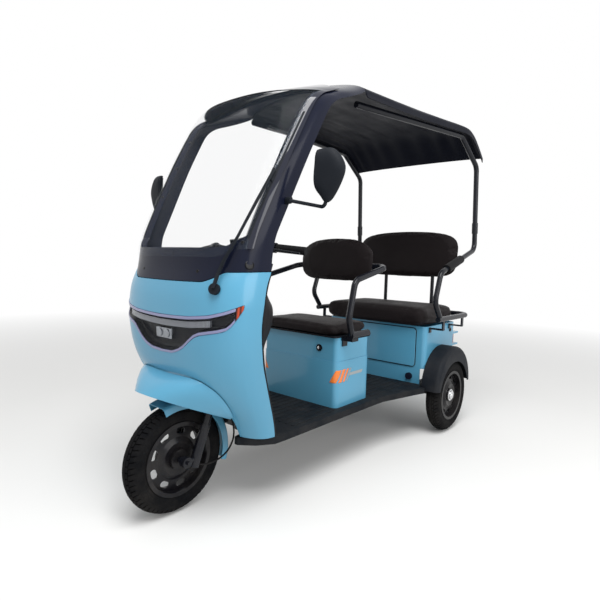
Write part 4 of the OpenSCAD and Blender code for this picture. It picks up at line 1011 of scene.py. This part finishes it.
# Cushions: shrunk, remeshed, swollen by pressure, then sewn
cushionSet = {
    "front_cushion": {
        "inset": 0.005, "grow": 0.006, "cap": 0.006, "voxel": 0.0055, "seam": 0.72, "lean": None,
        "rest": 0.12, "arch": 0.0,
    },
    "rear_cushion": {
        "inset": 0.006, "grow": 0.007, "cap": 0.007, "voxel": 0.0065, "seam": 0.76, "lean": None, "rest": 0.1,
        "arch": 0.0,
    },
    "front_backrest": {
        "inset": 0.007, "grow": 0.008, "cap": 0.009, "voxel": 0.0055, "seam": 0.40, "lean": 4.0, "rest": 0.0,
        "arch": 0.034,
    },
    "rear_backrest": {
        "inset": 0.007, "grow": 0.010, "cap": 0.010, "voxel": 0.0065, "seam": 0.40, "lean": 5.0, "rest": 0.0,
        "arch": 0.024,
    },
}
clothSet = {"quality": 4, "mass": 0.4, "stretch": 12, "bend": 2.0, "pressure": 3.0, "steps": 20}
archPower = 2.2
seamSet = {"half": 0.0045, "depth": 0.0022}


def padAxis(values):
    if values["lean"] is None:
        return Vector((0, 0, 1))
    return Vector((math.cos(math.radians(values["lean"])), 0, math.sin(math.radians(values["lean"]))))


def padSpan(mesh, axis):
    heights = [v.co.dot(axis) for v in mesh.vertices]
    return min(heights), max(heights)


def swell(piece, values):
    piece.vertex_groups.new(name="held")
    axis = padAxis(values)
    low, high = padSpan(piece.data, axis)
    for vert in piece.data.vertices:
        if vert.co.dot(axis) < low + values["rest"] * (high - low):
            piece.vertex_groups["held"].add([vert.index], 1.0, "ADD")
    cloth = piece.modifiers.new("filling", "CLOTH")
    cloth.settings.quality = clothSet["quality"]
    cloth.settings.mass = clothSet["mass"]
    cloth.settings.tension_stiffness = cloth.settings.compression_stiffness = clothSet["stretch"]
    cloth.settings.bending_stiffness = clothSet["bend"]
    cloth.settings.use_pressure = True
    cloth.settings.uniform_pressure_force = clothSet["pressure"]
    cloth.settings.effector_weights.gravity = 0
    if values["rest"]:
        cloth.settings.vertex_group_mass = "held"
    cloth.point_cache.frame_start, cloth.point_cache.frame_end = 1, clothSet["steps"]
    for step in range(1, clothSet["steps"] + 1):
        scene.frame_set(step)
    soft = piece.evaluated_get(bpy.context.evaluated_depsgraph_get())
    moved = [v.co.copy() for v in soft.data.vertices]
    piece.modifiers.remove(cloth)
    for vert, place in zip(piece.data.vertices, moved):
        shift = place - vert.co
        if shift.length > values["cap"]:
            shift *= values["cap"] / shift.length
        vert.co += shift
    scene.frame_set(1)


def sew(mesh, values):
    axis = padAxis(values)
    low, high = padSpan(mesh, axis)
    line = low + values["seam"] * (high - low)
    mesh.update()
    shifts = [(v, v.normal.copy(), 1 - abs(v.co.dot(axis) - line) / seamSet["half"]) for v in mesh.vertices]
    for vert, normal, near in shifts:
        if near > 0 and abs(normal.dot(axis)) < 0.85:
            vert.co -= normal * seamSet["depth"] * near
    return line


def padCushion(node, values):
    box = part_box(node)
    middle = (box[0] + box[1]) / 2
    half = (box[1] - box[0]) / 2
    bm = weldedCopy(node)
    thin = 2 if values["lean"] is None else 0
    for vert in bm.verts:  # thinner and wider, because the filling pulls the edges in
        for k in range(3):
            spread = -values["inset"] if k == thin else values["grow"]
            vert.co[k] = middle[k] + (vert.co[k] - middle[k]) * (1 + spread / half[k])
    if values["rest"]:  # the underside stays on its seat
        for vert in bm.verts:
            vert.co.z -= values["inset"]
    source = bpy.data.meshes.new(node + "Source")
    bm.to_mesh(source)
    bm.free()
    piece = bpy.data.objects.new(node + "Pad", source)
    scene.collection.objects.link(piece)
    remesh = piece.modifiers.new("evenFaces", "REMESH")
    remesh.mode = "VOXEL"
    remesh.voxel_size = values["voxel"]
    even = bpy.data.meshes.new_from_object(piece.evaluated_get(bpy.context.evaluated_depsgraph_get()))
    piece.modifiers.clear()
    piece.data = even
    relax = bmesh.new()
    relax.from_mesh(even)
    for _ in range(2):
        bmesh.ops.smooth_vert(
            relax, verts=relax.verts, factor=0.5, use_axis_x=True, use_axis_y=True, use_axis_z=True)
    relax.to_mesh(even)
    relax.free()
    swell(piece, values)
    for k in range(3):  # fills the solid's own space
        places = [vert.co[k] for vert in even.vertices]
        low, high = min(places), max(places)
        for vert in even.vertices:
            vert.co[k] = box[0][k] + (vert.co[k] - low) * (box[1][k] - box[0][k]) / (high - low)
    for vert in even.vertices:  # backrests fall away towards their ends
        end = (abs(vert.co.y) / half.y) ** archPower
        vert.co.z -= values["arch"] * end * share(vert.co.z, middle.z, box[1].z)
    line = sew(even, values)
    even.materials.clear()
    even.materials.append(finishes["seatLeather"])
    if values["lean"] is not None:  # moulded shell behind a backrest
        even.materials.append(finishes["backShell"])
        for face in even.polygons:
            face.material_index = 1 if face.center.dot(padAxis(values)) < line else 0
    even.polygons.foreach_set("use_smooth", [True] * len(even.polygons))
    soft = piece.modifiers.new("roundOff", "SUBSURF")
    soft.levels = soft.render_levels = 1
    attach(piece, bodyOf[node])
    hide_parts(node)


for nodeName, values in cushionSet.items():
    padCushion(nodeName, values)
print("cushions padded:", len(cushionSet))


# Mirror glasses on the heads' rear faces
mirrorSet = {"size": 0.9, "lift": 0.0006, "facing": -0.95, "leastArea": 0.006}


def makeMirrorGlass(values):
    bm = weldedCopy("mirrors", False)
    bmesh.ops.dissolve_limit(bm, angle_limit=math.radians(0.5), verts=bm.verts, edges=bm.edges)
    glass = bmesh.new()
    for face in bm.faces:
        if face.normal.x < values["facing"] and face.calc_area() > values["leastArea"]:
            centre = face.calc_center_median()
            lift = face.normal * values["lift"]
            places = [eased(centre + (v.co - centre) * values["size"]) + lift for v in face.verts]
            glass.faces.new([glass.verts.new(place) for place in places])
    bm.free()
    pieceFrom(glass, "mirrorGlasses", "chassis", "mirrorGlass")


makeMirrorGlass(mirrorSet)
print("mirror glasses made")
